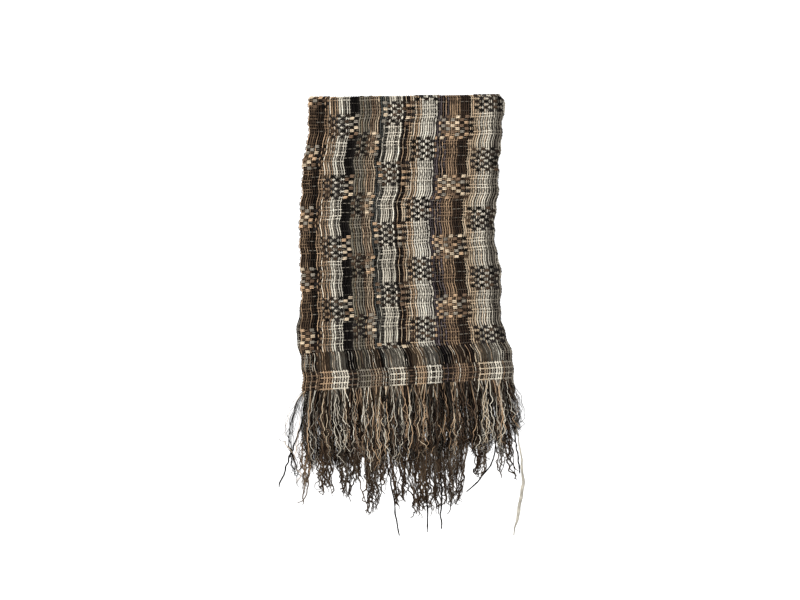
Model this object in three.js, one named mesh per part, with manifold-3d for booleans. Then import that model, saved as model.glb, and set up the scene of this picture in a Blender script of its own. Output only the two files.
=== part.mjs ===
// A long fringed scarf in a striped openwork weave, folded once across its middle and laid flat.
//
// The half that shows lies on the hidden half. Each half ends in a hem from which its own lengthwise
// yarns run on as a loose fringe. The hidden half is a little longer, so its fringe reaches past the
// other. Units are millimetres: +X across the cloth, +Y from the fringes up to the fold, +Z up.

import * as THREE from "three";
import { mergeVertices } from "three/addons/utils/BufferGeometryUtils.js";
import Module from "manifold-3d";

const wasm = await Module();
wasm.setup();

// Walls, and the gap that neighbouring pieces keep.
const CLOTH_WALL = 2.4;
const OPENWORK_WALL = 1.6;
const SEAM_GAP = 0.3;

// Places along the cloth, measured down the left selvedge from the fold.
const OPENWORK_FROM = 540;
const BORDER_FROM = 579;
const HEM = 620.5;
const HIDDEN_HEM = 664;
const RIGHT_SIDE_SHARE = 0.9645; // the right side is pulled up, so all its lengths are this share
const FOLD_RISE = 5.25; // the fold line climbs this much from the left corner to the right one

// The turn of the cloth at the fold.
const TURN_RADIUS = 2.3; // of the middle of the wall
const TURN_STEPS = 6;
const TURN_LAP = 6; // how far the turned cloth lies under itself before the hidden half begins
const SETTLED_AT = 46; // from here down the showing half lies flat on the hidden half

// Selvedges: soft scallops, and a wall that thins at its edge.
const SCALLOP_PITCH = 43;
const SCALLOP_DEPTH = 1.5;
const SCALLOPS_FROM = 12; // down from the fold
const SCALLOPS_FULL_AT = 60;
const RIGHT_SCALLOP_PHASE = 1.9; // so that the two selvedges don't swing alike
const EDGE_THINNING = 0.55; // share of the wall that is left at the selvedge
const EDGE_WIDTH = 0.013; // share of the width over which it thins

// Grid steps of the walls.
const ROW_STEP = 10.75;
const HIDDEN_ROW_STEP = 20;
const ACROSS = [0, EDGE_WIDTH, 0.11, 0.24, 0.37, 0.5, 0.63, 0.76, 0.89, 1 - EDGE_WIDTH, 1];
const HIDDEN_ACROSS = [0, EDGE_WIDTH, 0.16, 0.33, 0.5, 0.67, 0.84, 1 - EDGE_WIDTH, 1];

// The selvedges of the showing half, as distances from the middle line.
const SELVEDGES = [
  { down: 0, left: -193, right: 206 },
  { down: 7, left: -196, right: 210 },
  { down: 48, left: -196, right: 211 },
  { down: 92, left: -197.5, right: 208 },
  { down: 134, left: -207, right: 203 },
  { down: 197, left: -210, right: 203 },
  { down: 236, left: -213, right: 196 },
  { down: 286, left: -215, right: 194 },
  { down: 324, left: -214, right: 197 },
  { down: 362, left: -212.5, right: 203 },
  { down: 428, left: -211, right: 205 },
  { down: 475, left: -212, right: 209 },
  { down: 513, left: -213, right: 218 },
  { down: 551, left: -211, right: 229 },
  { down: 590, left: -209, right: 232 },
  { down: 622, left: -209, right: 233.5 },
  { down: 666, left: -206, right: 232 },
];

// Where the hidden half peeps out past the showing one (above zero) or lies back from it.
const HIDDEN_PEEPS = [
  { down: 0, left: -3, right: -2 },
  { down: 18, left: -2.5, right: 6.5 },
  { down: 34, left: -2, right: 5 },
  { down: 62, left: -2, right: 0.5 },
  { down: 112, left: -2, right: 3.5 },
  { down: 168, left: -2.5, right: -1.5 },
  { down: 232, left: -1, right: 3 },
  { down: 300, left: -2, right: 0 },
  { down: 372, left: -2, right: 5 },
  { down: 424, left: -1, right: 4 },
  { down: 452, left: 3, right: 0.5 },
  { down: 500, left: 8, right: 2.5 },
  { down: 534, left: 3, right: 4.5 },
  { down: 572, left: -1, right: 3 },
  { down: 622, left: -2, right: 3.5 },
  { down: 666, left: -1, right: -1 },
];

// Low swells of the showing half, where it doesn't lie quite flat: places, half sizes and heights.
const SWELLS = [
  { across: 0.16, down: 120, halfWidth: 60, halfLength: 95, height: 1.9 },
  { across: 0.72, down: 190, halfWidth: 74, halfLength: 70, height: 2.3 },
  { across: 0.34, down: 300, halfWidth: 50, halfLength: 120, height: 1.7 },
  { across: 0.9, down: 395, halfWidth: 42, halfLength: 60, height: 2.1 },
  { across: 0.08, down: 455, halfWidth: 34, halfLength: 58, height: 2.2 },
  { across: 0.55, down: 470, halfWidth: 88, halfLength: 60, height: 1.5 },
  { across: 0.82, down: 560, halfWidth: 60, halfLength: 50, height: 1.6 },
];

// The locks of a fringe, from the left selvedge to the right one: where their roots start and stop
// and where their tips meet, across, then how far below the fold the tips reach, how wide the tips
// spread, how far the lock bows to the right on its way, and how many strands it has.
const SHOWING_FRINGE = [
  { from: -206, to: -197, tip: -222, reach: 839, spread: 9, bow: -15, strands: 3 },
  { from: -197, to: -170, tip: -181, reach: 786, spread: 15, bow: -10, strands: 8 },
  { from: -170, to: -136, tip: -144, reach: 792, spread: 21, bow: -4, strands: 10 },
  { from: -136, to: -104, tip: -112, reach: 779, spread: 20, bow: 1, strands: 9 },
  { from: -104, to: -70, tip: -82, reach: 768, spread: 23, bow: 3, strands: 10 },
  { from: -70, to: -34, tip: -50, reach: 783, spread: 24, bow: 2, strands: 10 },
  { from: -34, to: 4, tip: -11, reach: 770, spread: 26, bow: 3, strands: 11 },
  { from: 4, to: 42, tip: 25, reach: 775, spread: 26, bow: 4, strands: 11 },
  { from: 42, to: 80, tip: 63, reach: 764, spread: 25, bow: 3, strands: 11 },
  { from: 80, to: 116, tip: 100, reach: 760, spread: 24, bow: 4, strands: 10 },
  { from: 116, to: 150, tip: 136, reach: 746, spread: 24, bow: 5, strands: 10 },
  { from: 150, to: 184, tip: 169, reach: 756, spread: 21, bow: 6, strands: 9 },
  { from: 184, to: 212, tip: 203, reach: 741, spread: 19, bow: 9, strands: 8 },
  { from: 212, to: 229, tip: 244, reach: 752, spread: 13, bow: 13, strands: 6 },
];

const HIDDEN_FRINGE = [
  { from: -202.5, to: -202, tip: -256, reach: 820, spread: 0, bow: -9, strands: 1 },
  { from: -198, to: -174, tip: -213, reach: 838, spread: 12, bow: -5, strands: 5 },
  { from: -174, to: -140, tip: -156, reach: 846, spread: 17, bow: -2, strands: 8 },
  { from: -140, to: -86, tip: -106, reach: 839, spread: 28, bow: 3, strands: 12 },
  { from: -86, to: -40, tip: -47, reach: 869, spread: 30, bow: 3, strands: 11 },
  { from: -37, to: -36, tip: -3, reach: 922, spread: 0, bow: 1, strands: 1 },
  { from: -33, to: 0, tip: 4, reach: 866, spread: 17, bow: 3, strands: 7 },
  { from: 0, to: 34, tip: 34, reach: 869, spread: 14, bow: 5, strands: 7 },
  { from: 36.5, to: 37, tip: 56, reach: 915, spread: 0, bow: 5, strands: 1 },
  { from: 40, to: 74, tip: 68, reach: 877, spread: 15, bow: 3, strands: 8 },
  { from: 76.5, to: 77, tip: 82, reach: 908, spread: 0, bow: 3, strands: 1 },
  { from: 80, to: 106, tip: 97, reach: 874, spread: 13, bow: 3, strands: 6 },
  { from: 106, to: 136, tip: 120, reach: 876, spread: 17, bow: 5, strands: 7 },
  { from: 136, to: 178, tip: 164, reach: 818, spread: 20, bow: 5, strands: 9 },
  { from: 178, to: 206, tip: 206, reach: 800, spread: 16, bow: 5, strands: 6 },
  { from: 206, to: 222, tip: 234, reach: 802, spread: 12, bow: 6, strands: 4 },
  { from: 226, to: 227, tip: 242, reach: 921, spread: 0, bow: 23, strands: 1 },
];

// The strip that a fringe is rooted in, and its strands.
const STRIP_DEPTH = 4;
const STRIP_WALL = 1.7;
const STRIP_STEPS = 22;
const STRIP_INSET = 2; // from the selvedges
const STRAND_SIDES = 3;
const STRAND_STEPS = 5;
const STRAND_HALF_HEIGHT = 0.68;
const STRAND_SWAY = 1.6;
const SWAY_WAVES = 1.2; // in the length of a lock
const SWAY_SHIFT = 70; // along the hem, over which the sway of the strands changes
const SWAY_FULL_AT = 0.4; // share of a lock's length
const STRAND_RAGGEDNESS = 0.16; // share by which a strand may stop short of its lock's reach
const TIP_LAG = 1.7; // above one, strands leave the hem straight and gather only further down
const HALF_WIDTHS = [
  { along: 0, halfWidth: 0.8 },
  { along: 0.15, halfWidth: 1.25 },
  { along: 0.6, halfWidth: 1.05 },
  { along: 1, halfWidth: 0.45 },
];

// Heights of the middle of each wall or strand above the surface that the scarf lies on.
const HIDDEN_MIDDLE = CLOTH_WALL / 2;
const SHOWING_MIDDLE = CLOTH_WALL + SEAM_GAP + CLOTH_WALL / 2;
const TURN_CENTRE = TURN_RADIUS + CLOTH_WALL / 2;

// How the strands come down from their hem. The upper ones lie across the hidden hem and its fringe.
const SHOWING_STRAND_HEIGHTS = [
  { along: 0, height: SHOWING_MIDDLE },
  { along: 0.2, height: 3.15 },
  { along: 0.4, height: 2.8 },
  { along: 0.65, height: 2.3 },
  { along: 1, height: 2 },
];
const HIDDEN_STRAND_HEIGHTS = [
  { along: 0, height: HIDDEN_MIDDLE },
  { along: 0.25, height: 0.85 },
  { along: 1, height: 0.7 },
];

const YARN_ROUGHNESS = 0.92;
const CLOTH_COLOUR = 0x57493c;
const OPENWORK_COLOUR = 0x4a4038;
const BORDER_COLOUR = 0x8a7a64;
const HIDDEN_COLOUR = 0x4d463f;
const FRINGE_COLOUR = 0x3d342c;
const HIDDEN_FRINGE_COLOUR = 0x2f2a26;

const WELD = 1e-4; // vertices closer than this are one

const lerp = THREE.MathUtils.lerp;
const smooth = THREE.MathUtils.smoothstep;

/** A repeatable number from 0 to 1 for each whole number, which looks random. */
function scatter(n) {
  const value = Math.sin(n * 12.9898 + 4.1414) * 43758.5453;
  return value - Math.floor(value);
}

/** Reads a column of a table at a place between its rows, on a smooth curve through them. */
function valueAt(rows, key, column, place) {
  let i = 0;
  while (i < rows.length - 2 && rows[i + 1][key] < place) i += 1;
  const from = rows[i];
  const to = rows[i + 1];
  const before = rows[Math.max(i - 1, 0)];
  const after = rows[Math.min(i + 2, rows.length - 1)];
  const span = to[key] - from[key];
  const t = THREE.MathUtils.clamp((place - from[key]) / span, 0, 1);
  const leave = ((to[column] - before[column]) / (to[key] - before[key])) * span;
  const arrive = ((after[column] - from[column]) / (after[key] - from[key])) * span;
  const bend = (1 - t) * (1 - t) * t * leave - (1 - t) * t * t * arrive;
  return lerp(from[column], to[column], t * t * (3 - 2 * t)) + bend;
}

/** How far a selvedge swings out at a place along it. */
function scallop(down, phase) {
  const grown = smooth(down, SCALLOPS_FROM, SCALLOPS_FULL_AT);
  return grown * SCALLOP_DEPTH * Math.sin((2 * Math.PI * down) / SCALLOP_PITCH + phase);
}

/** The share of the left side's lengths that holds at a place across the cloth. */
function lengthShare(across) {
  return lerp(1, RIGHT_SIDE_SHARE, across);
}

/** X and Y of a point of the cloth. Peep is zero on the showing half and one on the hidden half. */
function clothPlace(across, down, peep) {
  const onRight = down * RIGHT_SIDE_SHARE;
  const left =
    valueAt(SELVEDGES, "down", "left", down) -
    scallop(down, 0) -
    peep * valueAt(HIDDEN_PEEPS, "down", "left", down);
  const right =
    valueAt(SELVEDGES, "down", "right", onRight) +
    scallop(down, RIGHT_SCALLOP_PHASE) +
    peep * valueAt(HIDDEN_PEEPS, "down", "right", onRight);
  return { x: lerp(left, right, across), y: FOLD_RISE * across - down * lengthShare(across) };
}

/** How much the low swells lift the showing half at a point. */
function swellAt(across, down) {
  const here = clothPlace(across, down, 0);
  let lift = 0;
  for (const swell of SWELLS) {
    const middle = clothPlace(swell.across, swell.down, 0);
    const off = Math.hypot((here.x - middle.x) / swell.halfWidth, (here.y - middle.y) / swell.halfLength);
    lift += swell.height * (1 - smooth(off, 0, 1));
  }
  return lift;
}

/** Height of the middle of the showing half: rolled over at the fold, and settled further down. */
function showingHeight(across, down) {
  const rolled = TURN_CENTRE + TURN_RADIUS;
  return lerp(rolled, SHOWING_MIDDLE, smooth(down, TURN_CENTRE, SETTLED_AT)) + swellAt(across, down);
}

/** The share of the wall that is left at a place across it. */
function edgeShare(across) {
  return across === 0 || across === 1 ? EDGE_THINNING : 1;
}

/** Whole steps from one place to another, each at most the given length. */
function places(from, to, step) {
  const count = Math.ceil((to - from) / step);
  return Array.from({ length: count + 1 }, (_, i) => lerp(from, to, i / count));
}

/**
 * One closed wall from two grids of points with the same rows and columns. Rows run down the cloth
 * and columns from left to right. The outer grid is the side that faces up.
 */
function wallBetween(outer, inner) {
  const rows = outer.length;
  const columns = outer[0].length;
  const positions = [...outer.flat(), ...inner.flat()].flatMap((p) => [p.x, p.y, p.z]);
  const top = (r, c) => r * columns + c;
  const under = (r, c) => rows * columns + r * columns + c;
  const faces = [];
  const quad = (a, b, c, d) => faces.push(a, b, c, a, c, d);
  for (let r = 0; r < rows - 1; r += 1) {
    for (let c = 0; c < columns - 1; c += 1) {
      quad(top(r, c), top(r + 1, c), top(r + 1, c + 1), top(r, c + 1));
      quad(under(r, c), under(r, c + 1), under(r + 1, c + 1), under(r + 1, c));
    }
    quad(top(r, 0), under(r, 0), under(r + 1, 0), top(r + 1, 0));
    quad(top(r + 1, columns - 1), under(r + 1, columns - 1), under(r, columns - 1), top(r, columns - 1));
  }
  for (let c = 0; c < columns - 1; c += 1) {
    quad(top(0, c + 1), under(0, c + 1), under(0, c), top(0, c));
    quad(top(rows - 1, c), under(rows - 1, c), under(rows - 1, c + 1), top(rows - 1, c + 1));
  }
  const geometry = new THREE.BufferGeometry();
  geometry.setAttribute("position", new THREE.Float32BufferAttribute(positions, 3));
  geometry.setIndex(faces);
  return geometry;
}

/** The two grids of a stretch of the showing half that lies flat, from one place down to another. */
function flatStretch(from, to, wall, step) {
  const grids = { outer: [], inner: [] };
  for (const down of places(from, to, step)) {
    const row = (side) =>
      ACROSS.map((across) => {
        const { x, y } = clothPlace(across, down, 0);
        const half = (wall / 2) * edgeShare(across);
        return new THREE.Vector3(x, y, showingHeight(across, down) + side * half);
      });
    grids.outer.push(row(1));
    grids.inner.push(row(-1));
  }
  return grids;
}

/** The two grids of the turn at the fold, from under the cloth round to its upper side. */
function turnStretch() {
  const grids = { outer: [], inner: [] };
  const addRow = (angle, back) => {
    const row = (side) =>
      ACROSS.map((across) => {
        const { x } = clothPlace(across, 0, 0);
        const radius = TURN_RADIUS + side * (CLOTH_WALL / 2) * edgeShare(across);
        const centre = FOLD_RISE * across - (TURN_CENTRE + back) * lengthShare(across);
        const y = centre + radius * Math.cos(angle);
        return new THREE.Vector3(x, y, TURN_CENTRE + radius * Math.sin(angle));
      });
    grids.outer.push(row(1));
    grids.inner.push(row(-1));
  };
  addRow(-Math.PI / 2, TURN_LAP);
  for (let i = 0; i < TURN_STEPS; i += 1) addRow(lerp(-Math.PI / 2, Math.PI / 2, i / TURN_STEPS), 0);
  return grids;
}

/** The patterned stretch of the showing half, with the turn at the fold. */
function showingPanel() {
  const turn = turnStretch();
  const flat = flatStretch(TURN_CENTRE, OPENWORK_FROM - SEAM_GAP / 2, CLOTH_WALL, ROW_STEP);
  return wallBetween([...turn.outer, ...flat.outer], [...turn.inner, ...flat.inner]);
}

/** A band of the showing half below the patterned stretch. */
function showingBand(from, to, wall) {
  const { outer, inner } = flatStretch(from + SEAM_GAP / 2, to - SEAM_GAP / 2, wall, ROW_STEP);
  return wallBetween(outer, inner);
}

/** The hidden half: flat underneath where it rests, and rounded off towards its selvedges. */
function hiddenPanel() {
  const start = TURN_CENTRE + TURN_LAP + SEAM_GAP;
  const outer = [];
  const inner = [];
  for (const down of places(start, HIDDEN_HEM - SEAM_GAP / 2, HIDDEN_ROW_STEP)) {
    const row = (heightOf) =>
      HIDDEN_ACROSS.map((across) => {
        const { x, y } = clothPlace(across, down, 1);
        return new THREE.Vector3(x, y, heightOf(across));
      });
    outer.push(row((across) => CLOTH_WALL * edgeShare(across)));
    inner.push(row(() => 0));
  }
  return wallBetween(outer, inner);
}

/** A closed solid of manifold-3d from a geometry. */
function solidOf(geometry) {
  const merged = mergeVertices(geometry, WELD);
  return new wasm.Manifold(
    new wasm.Mesh({
      numProp: 3,
      vertProperties: new Float32Array(merged.attributes.position.array),
      triVerts: new Uint32Array(merged.index.array),
    }),
  );
}

/** A geometry from a closed solid of manifold-3d. */
function geometryOf(solid) {
  const mesh = solid.getMesh();
  const geometry = new THREE.BufferGeometry();
  geometry.setAttribute("position", new THREE.BufferAttribute(mesh.vertProperties, 3));
  geometry.setIndex(new THREE.BufferAttribute(mesh.triVerts, 1));
  return geometry;
}

/** The share of the cloth's width at which a distance from the middle line lies. */
function shareOf(x, down, peep) {
  const left = clothPlace(0, down, peep).x;
  const right = clothPlace(1, down, peep).x;
  return (x - left) / (right - left);
}

/** The strip under a hem that a fringe is rooted in. */
function rootStrip({ hem, peep, heights }) {
  const width = clothPlace(1, hem, peep).x - clothPlace(0, hem, peep).x;
  const inset = STRIP_INSET / width;
  const grid = (side) =>
    [SEAM_GAP, SEAM_GAP + STRIP_DEPTH].map((below) =>
      places(inset, 1 - inset, (1 - 2 * inset) / STRIP_STEPS).map((across) => {
        const { x, y } = clothPlace(across, hem + below, peep);
        return new THREE.Vector3(x, y, heights[0].height + (side * STRIP_WALL) / 2);
      }),
    );
  return wallBetween(grid(1), grid(-1));
}

/** A strand: a tube of few sides along its line, closed at both ends. */
function strandAlong(line) {
  const rings = line.map(({ x, y, z, halfWidth }) =>
    Array.from({ length: STRAND_SIDES }, (_, k) => {
      const angle = Math.PI / 2 + (2 * Math.PI * k) / STRAND_SIDES;
      const out = new THREE.Vector3(Math.cos(angle) * halfWidth, 0, Math.sin(angle) * STRAND_HALF_HEIGHT);
      return out.add(new THREE.Vector3(x, y, z));
    }),
  );
  const at = (ring, k) => ring * STRAND_SIDES + (k % STRAND_SIDES);
  const faces = [];
  for (let ring = 0; ring < rings.length - 1; ring += 1) {
    for (let k = 0; k < STRAND_SIDES; k += 1) {
      faces.push(at(ring, k), at(ring + 1, k + 1), at(ring + 1, k));
      faces.push(at(ring, k), at(ring, k + 1), at(ring + 1, k + 1));
    }
  }
  for (let k = 1; k < STRAND_SIDES - 1; k += 1) {
    faces.push(at(0, 0), at(0, k + 1), at(0, k));
    faces.push(at(rings.length - 1, 0), at(rings.length - 1, k), at(rings.length - 1, k + 1));
  }
  const geometry = new THREE.BufferGeometry();
  const positions = rings.flat().flatMap((p) => [p.x, p.y, p.z]);
  geometry.setAttribute("position", new THREE.Float32BufferAttribute(positions, 3));
  geometry.setIndex(faces);
  return geometry;
}

/** The line of one strand of a lock, from inside the root strip to its tip. */
function strandLine(lock, index, number, { hem, peep, heights }) {
  const share = lock.strands > 1 ? index / (lock.strands - 1) : 0.5;
  const pitch = (lock.to - lock.from) / lock.strands;
  const rootX = lock.strands > 1 ? lock.from + pitch * (index + 0.5) : lock.from;
  const root = clothPlace(shareOf(rootX, hem, peep), hem + SEAM_GAP + STRIP_DEPTH / 2, peep);
  const ragged = lock.strands > 1 ? STRAND_RAGGEDNESS * scatter(number) : 0;
  const tipX = lock.tip + lock.spread * (share - 0.5);
  return Array.from({ length: STRAND_STEPS + 1 }, (_, i) => {
    const along = i / STRAND_STEPS;
    const reached = along * (1 - ragged);
    const swing = Math.sin(SWAY_WAVES * 2 * Math.PI * reached + lock.from / SWAY_SHIFT);
    const sway = STRAND_SWAY * swing * smooth(reached, 0, SWAY_FULL_AT);
    const bow = lock.bow * Math.sin(Math.PI * reached);
    return {
      x: lerp(root.x, tipX, reached ** TIP_LAG) + bow + sway,
      y: lerp(root.y, -lock.reach, reached),
      z: valueAt(heights, "along", "height", along),
      halfWidth: valueAt(HALF_WIDTHS, "along", "halfWidth", along),
    };
  });
}

/** A whole fringe: the root strip with the strands of every lock joined to it. */
function fringe(half) {
  const solids = [solidOf(rootStrip(half))];
  let number = 0;
  for (const lock of half.locks) {
    for (let i = 0; i < lock.strands; i += 1) {
      solids.push(solidOf(strandAlong(strandLine(lock, i, number, half))));
      number += 1;
    }
  }
  return geometryOf(wasm.Manifold.union(solids));
}

/** A named mesh with its own plain material. */
function piece(name, geometry, color) {
  const material = new THREE.MeshStandardMaterial({ color, roughness: YARN_ROUGHNESS, metalness: 0 });
  geometry.computeVertexNormals();
  const mesh = new THREE.Mesh(geometry, material);
  mesh.name = name;
  return mesh;
}

const showingHalf = { locks: SHOWING_FRINGE, hem: HEM, peep: 0, heights: SHOWING_STRAND_HEIGHTS };
const hiddenHalf = { locks: HIDDEN_FRINGE, hem: HIDDEN_HEM, peep: 1, heights: HIDDEN_STRAND_HEIGHTS };

const scarf = new THREE.Group();
scarf.add(
  piece("showing_panel", showingPanel(), CLOTH_COLOUR),
  piece("showing_openwork", showingBand(OPENWORK_FROM, BORDER_FROM, OPENWORK_WALL), OPENWORK_COLOUR),
  piece("showing_border", showingBand(BORDER_FROM, HEM, CLOTH_WALL), BORDER_COLOUR),
  piece("hidden_panel", hiddenPanel(), HIDDEN_COLOUR),
  piece("showing_fringe", fringe(showingHalf), FRINGE_COLOUR),
  piece("hidden_fringe", fringe(hiddenHalf), HIDDEN_FRINGE_COLOUR),
);

// The origin is the middle of the whole outline, on the surface that the scarf lies on.
const outline = new THREE.Box3().setFromObject(scarf);
const middle = outline.getCenter(new THREE.Vector3());
scarf.position.set(-middle.x, -middle.y, 0);

export default scarf;
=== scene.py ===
"""A long fringed scarf of striped openwork cloth, folded once across its middle and laid flat.

Both halves of the cloth lie on each other, with their fringes at one end. Each stretch of cloth is a
thin dark ground with its lengthwise and crosswise yarns laid over it; the ground's dark colour is
painted shade in the gaps between the yarns. Each fringe is a mass of single crimped yarns. Every
yarn is a tube that is swept along a line worked out on the folded cloth.
Lengths in the tables are millimetres on the cloth, and the meshes are in metres in the part's frame.
"""

from __future__ import annotations

import logging
import math
from dataclasses import dataclass, field
from enum import Enum

import bpy
import numpy as np
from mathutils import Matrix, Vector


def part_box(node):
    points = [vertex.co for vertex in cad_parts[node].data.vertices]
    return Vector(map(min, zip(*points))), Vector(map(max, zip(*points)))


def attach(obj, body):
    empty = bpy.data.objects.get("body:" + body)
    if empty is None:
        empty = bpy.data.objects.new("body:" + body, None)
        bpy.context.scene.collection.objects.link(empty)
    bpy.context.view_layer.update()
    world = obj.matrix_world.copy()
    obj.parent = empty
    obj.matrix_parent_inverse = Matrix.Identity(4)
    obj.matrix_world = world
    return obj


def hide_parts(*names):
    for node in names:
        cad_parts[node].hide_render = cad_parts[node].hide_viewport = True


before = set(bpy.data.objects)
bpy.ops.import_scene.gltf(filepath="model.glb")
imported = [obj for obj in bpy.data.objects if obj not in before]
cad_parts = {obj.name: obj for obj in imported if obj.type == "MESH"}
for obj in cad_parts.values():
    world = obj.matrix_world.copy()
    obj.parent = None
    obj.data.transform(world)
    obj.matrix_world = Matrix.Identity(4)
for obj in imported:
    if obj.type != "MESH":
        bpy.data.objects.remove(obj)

LOG = logging.getLogger("scarf")
MM = 0.001
TINY = 1e-12
COLUMNS = 84
TINT = "tint"
YARN_MAP = "yarn"
PALE_FROM = 0.12  # the mean light from which a colour counts as pale
DOWN_THE_CLOTH = (0.0, 1.0, 0.0)
UPWARDS = (0.0, 0.0, 1.0)
OUTLINE_PLACES = (0, 7, 48, 92, 134, 197, 236, 286, 324, 362, 428, 475, 513, 551, 590, 622, 666)
PEEP_PLACES = (0, 18, 34, 62, 112, 168, 232, 300, 372, 424, 452, 500, 534, 572, 622, 666)


def ease(place: np.ndarray, start: float, end: float) -> np.ndarray:
    """Rise smoothly from 0 to 1 between two places, by 3t squared less 2t cubed.

    Args:
        place: Where to read it.
        start: The place up to which it is 0.
        end: The place from which it is 1.

    Returns:
        The eased share at each place.
    """
    t = np.clip((np.asarray(place, float) - start) / (end - start), 0.0, 1.0)
    return t * t * (3.0 - 2.0 * t)


def waver(rng: np.random.Generator, lines: int, samples: int, waves: float) -> np.ndarray:
    """Make smooth random waves: random heights at even knots, joined by eased steps.

    Args:
        rng: The source of the heights.
        lines: How many lines to make.
        samples: How many places each line has.
        waves: How many knots a line passes.

    Returns:
        An array of lines by samples, from -1 to 1.
    """
    knots = int(math.ceil(waves)) + 2
    heights = rng.uniform(-1.0, 1.0, (lines, knots))
    place = np.linspace(0.0, waves, samples)
    whole = place.astype(int)
    t = ease(place - whole, 0.0, 1.0)
    return heights[:, whole] * (1.0 - t) + heights[:, whole + 1] * t


def soften(heights: np.ndarray) -> np.ndarray:
    """Average each inner place of each line with its two neighbours, which count half as much.

    Args:
        heights: Values as lines by samples.

    Returns:
        The softened lines, with their first and last values kept.
    """
    soft = heights.copy()
    soft[:, 1:-1] = (heights[:, :-2] + 2 * heights[:, 1:-1] + heights[:, 2:]) / 4
    return soft


def column_at(across: np.ndarray) -> np.ndarray:
    """Find the column of yarns at each share of the width."""
    return np.clip((across * COLUMNS).astype(int), 0, COLUMNS - 1)


@dataclass(frozen=True)
class Curve:
    """A smooth curve through a few measured places."""

    places: tuple[float, ...]
    values: tuple[float, ...]

    def at(self, place: np.ndarray) -> np.ndarray:
        """Read the curve: a cubic in each span, whose slope at a knot is its neighbours' chord.

        Args:
            place: Where to read it. Past its ends the curve keeps its last value.

        Returns:
            The values there.
        """
        x, v = np.asarray(self.places, float), np.asarray(self.values, float)
        slope = np.gradient(v, x)
        slope[1:-1] = (v[2:] - v[:-2]) / (x[2:] - x[:-2])
        i = np.clip(np.searchsorted(x, place) - 1, 0, len(x) - 2)
        span = x[i + 1] - x[i]
        t = np.clip((place - x[i]) / span, 0.0, 1.0)
        bend = (1 - t) ** 2 * t * slope[i] - (1 - t) * t * t * slope[i + 1]
        return v[i] + (v[i + 1] - v[i]) * ease(t, 0.0, 1.0) + span * bend


class Yarn(Enum):
    """The yarn colours, as red, green and blue from 0 to 255 as they look on a screen."""

    BLACK = (16, 13, 12)
    CHARCOAL = (38, 34, 33)
    BLACK_BROWN = (40, 31, 26)
    DARK_BROWN = (72, 57, 45)
    WARM_BROWN = (114, 93, 75)
    TAN = (188, 157, 125)
    SAND = (210, 190, 162)
    CREAM = (240, 230, 210)
    SILVER = (208, 201, 186)
    GREY = (142, 134, 121)
    OLIVE = (116, 108, 88)
    MAUVE = (112, 101, 103)
    SLATE = (102, 104, 100)

    @property
    def linear(self) -> np.ndarray:
        """The colour as light, which is what shaders and attributes hold."""
        screen = np.asarray(self.value, float) / 255.0
        return np.where(screen <= 0.04045, screen / 12.92, ((screen + 0.055) / 1.055) ** 2.4)


YARN_SHARES = (
    (Yarn.BLACK, 0.24),
    (Yarn.CHARCOAL, 0.13),
    (Yarn.BLACK_BROWN, 0.16),
    (Yarn.DARK_BROWN, 0.11),
    (Yarn.WARM_BROWN, 0.08),
    (Yarn.TAN, 0.08),
    (Yarn.GREY, 0.07),
    (Yarn.SAND, 0.05),
    (Yarn.SILVER, 0.05),
    (Yarn.CREAM, 0.03),
)


def common_yarns(rng: np.random.Generator, shape: int | tuple[int, ...]) -> np.ndarray:
    """Draw yarn colours by how common each one is in the whole scarf.

    Args:
        rng: The source of the draws.
        shape: How many to draw, as a number or a shape.

    Returns:
        Colours as light, with red, green and blue last.
    """
    table = np.array([colour.linear for colour, _ in YARN_SHARES])
    weights = np.array([share for _, share in YARN_SHARES])
    return table[rng.choice(len(weights), shape, p=weights / weights.sum())]


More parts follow.
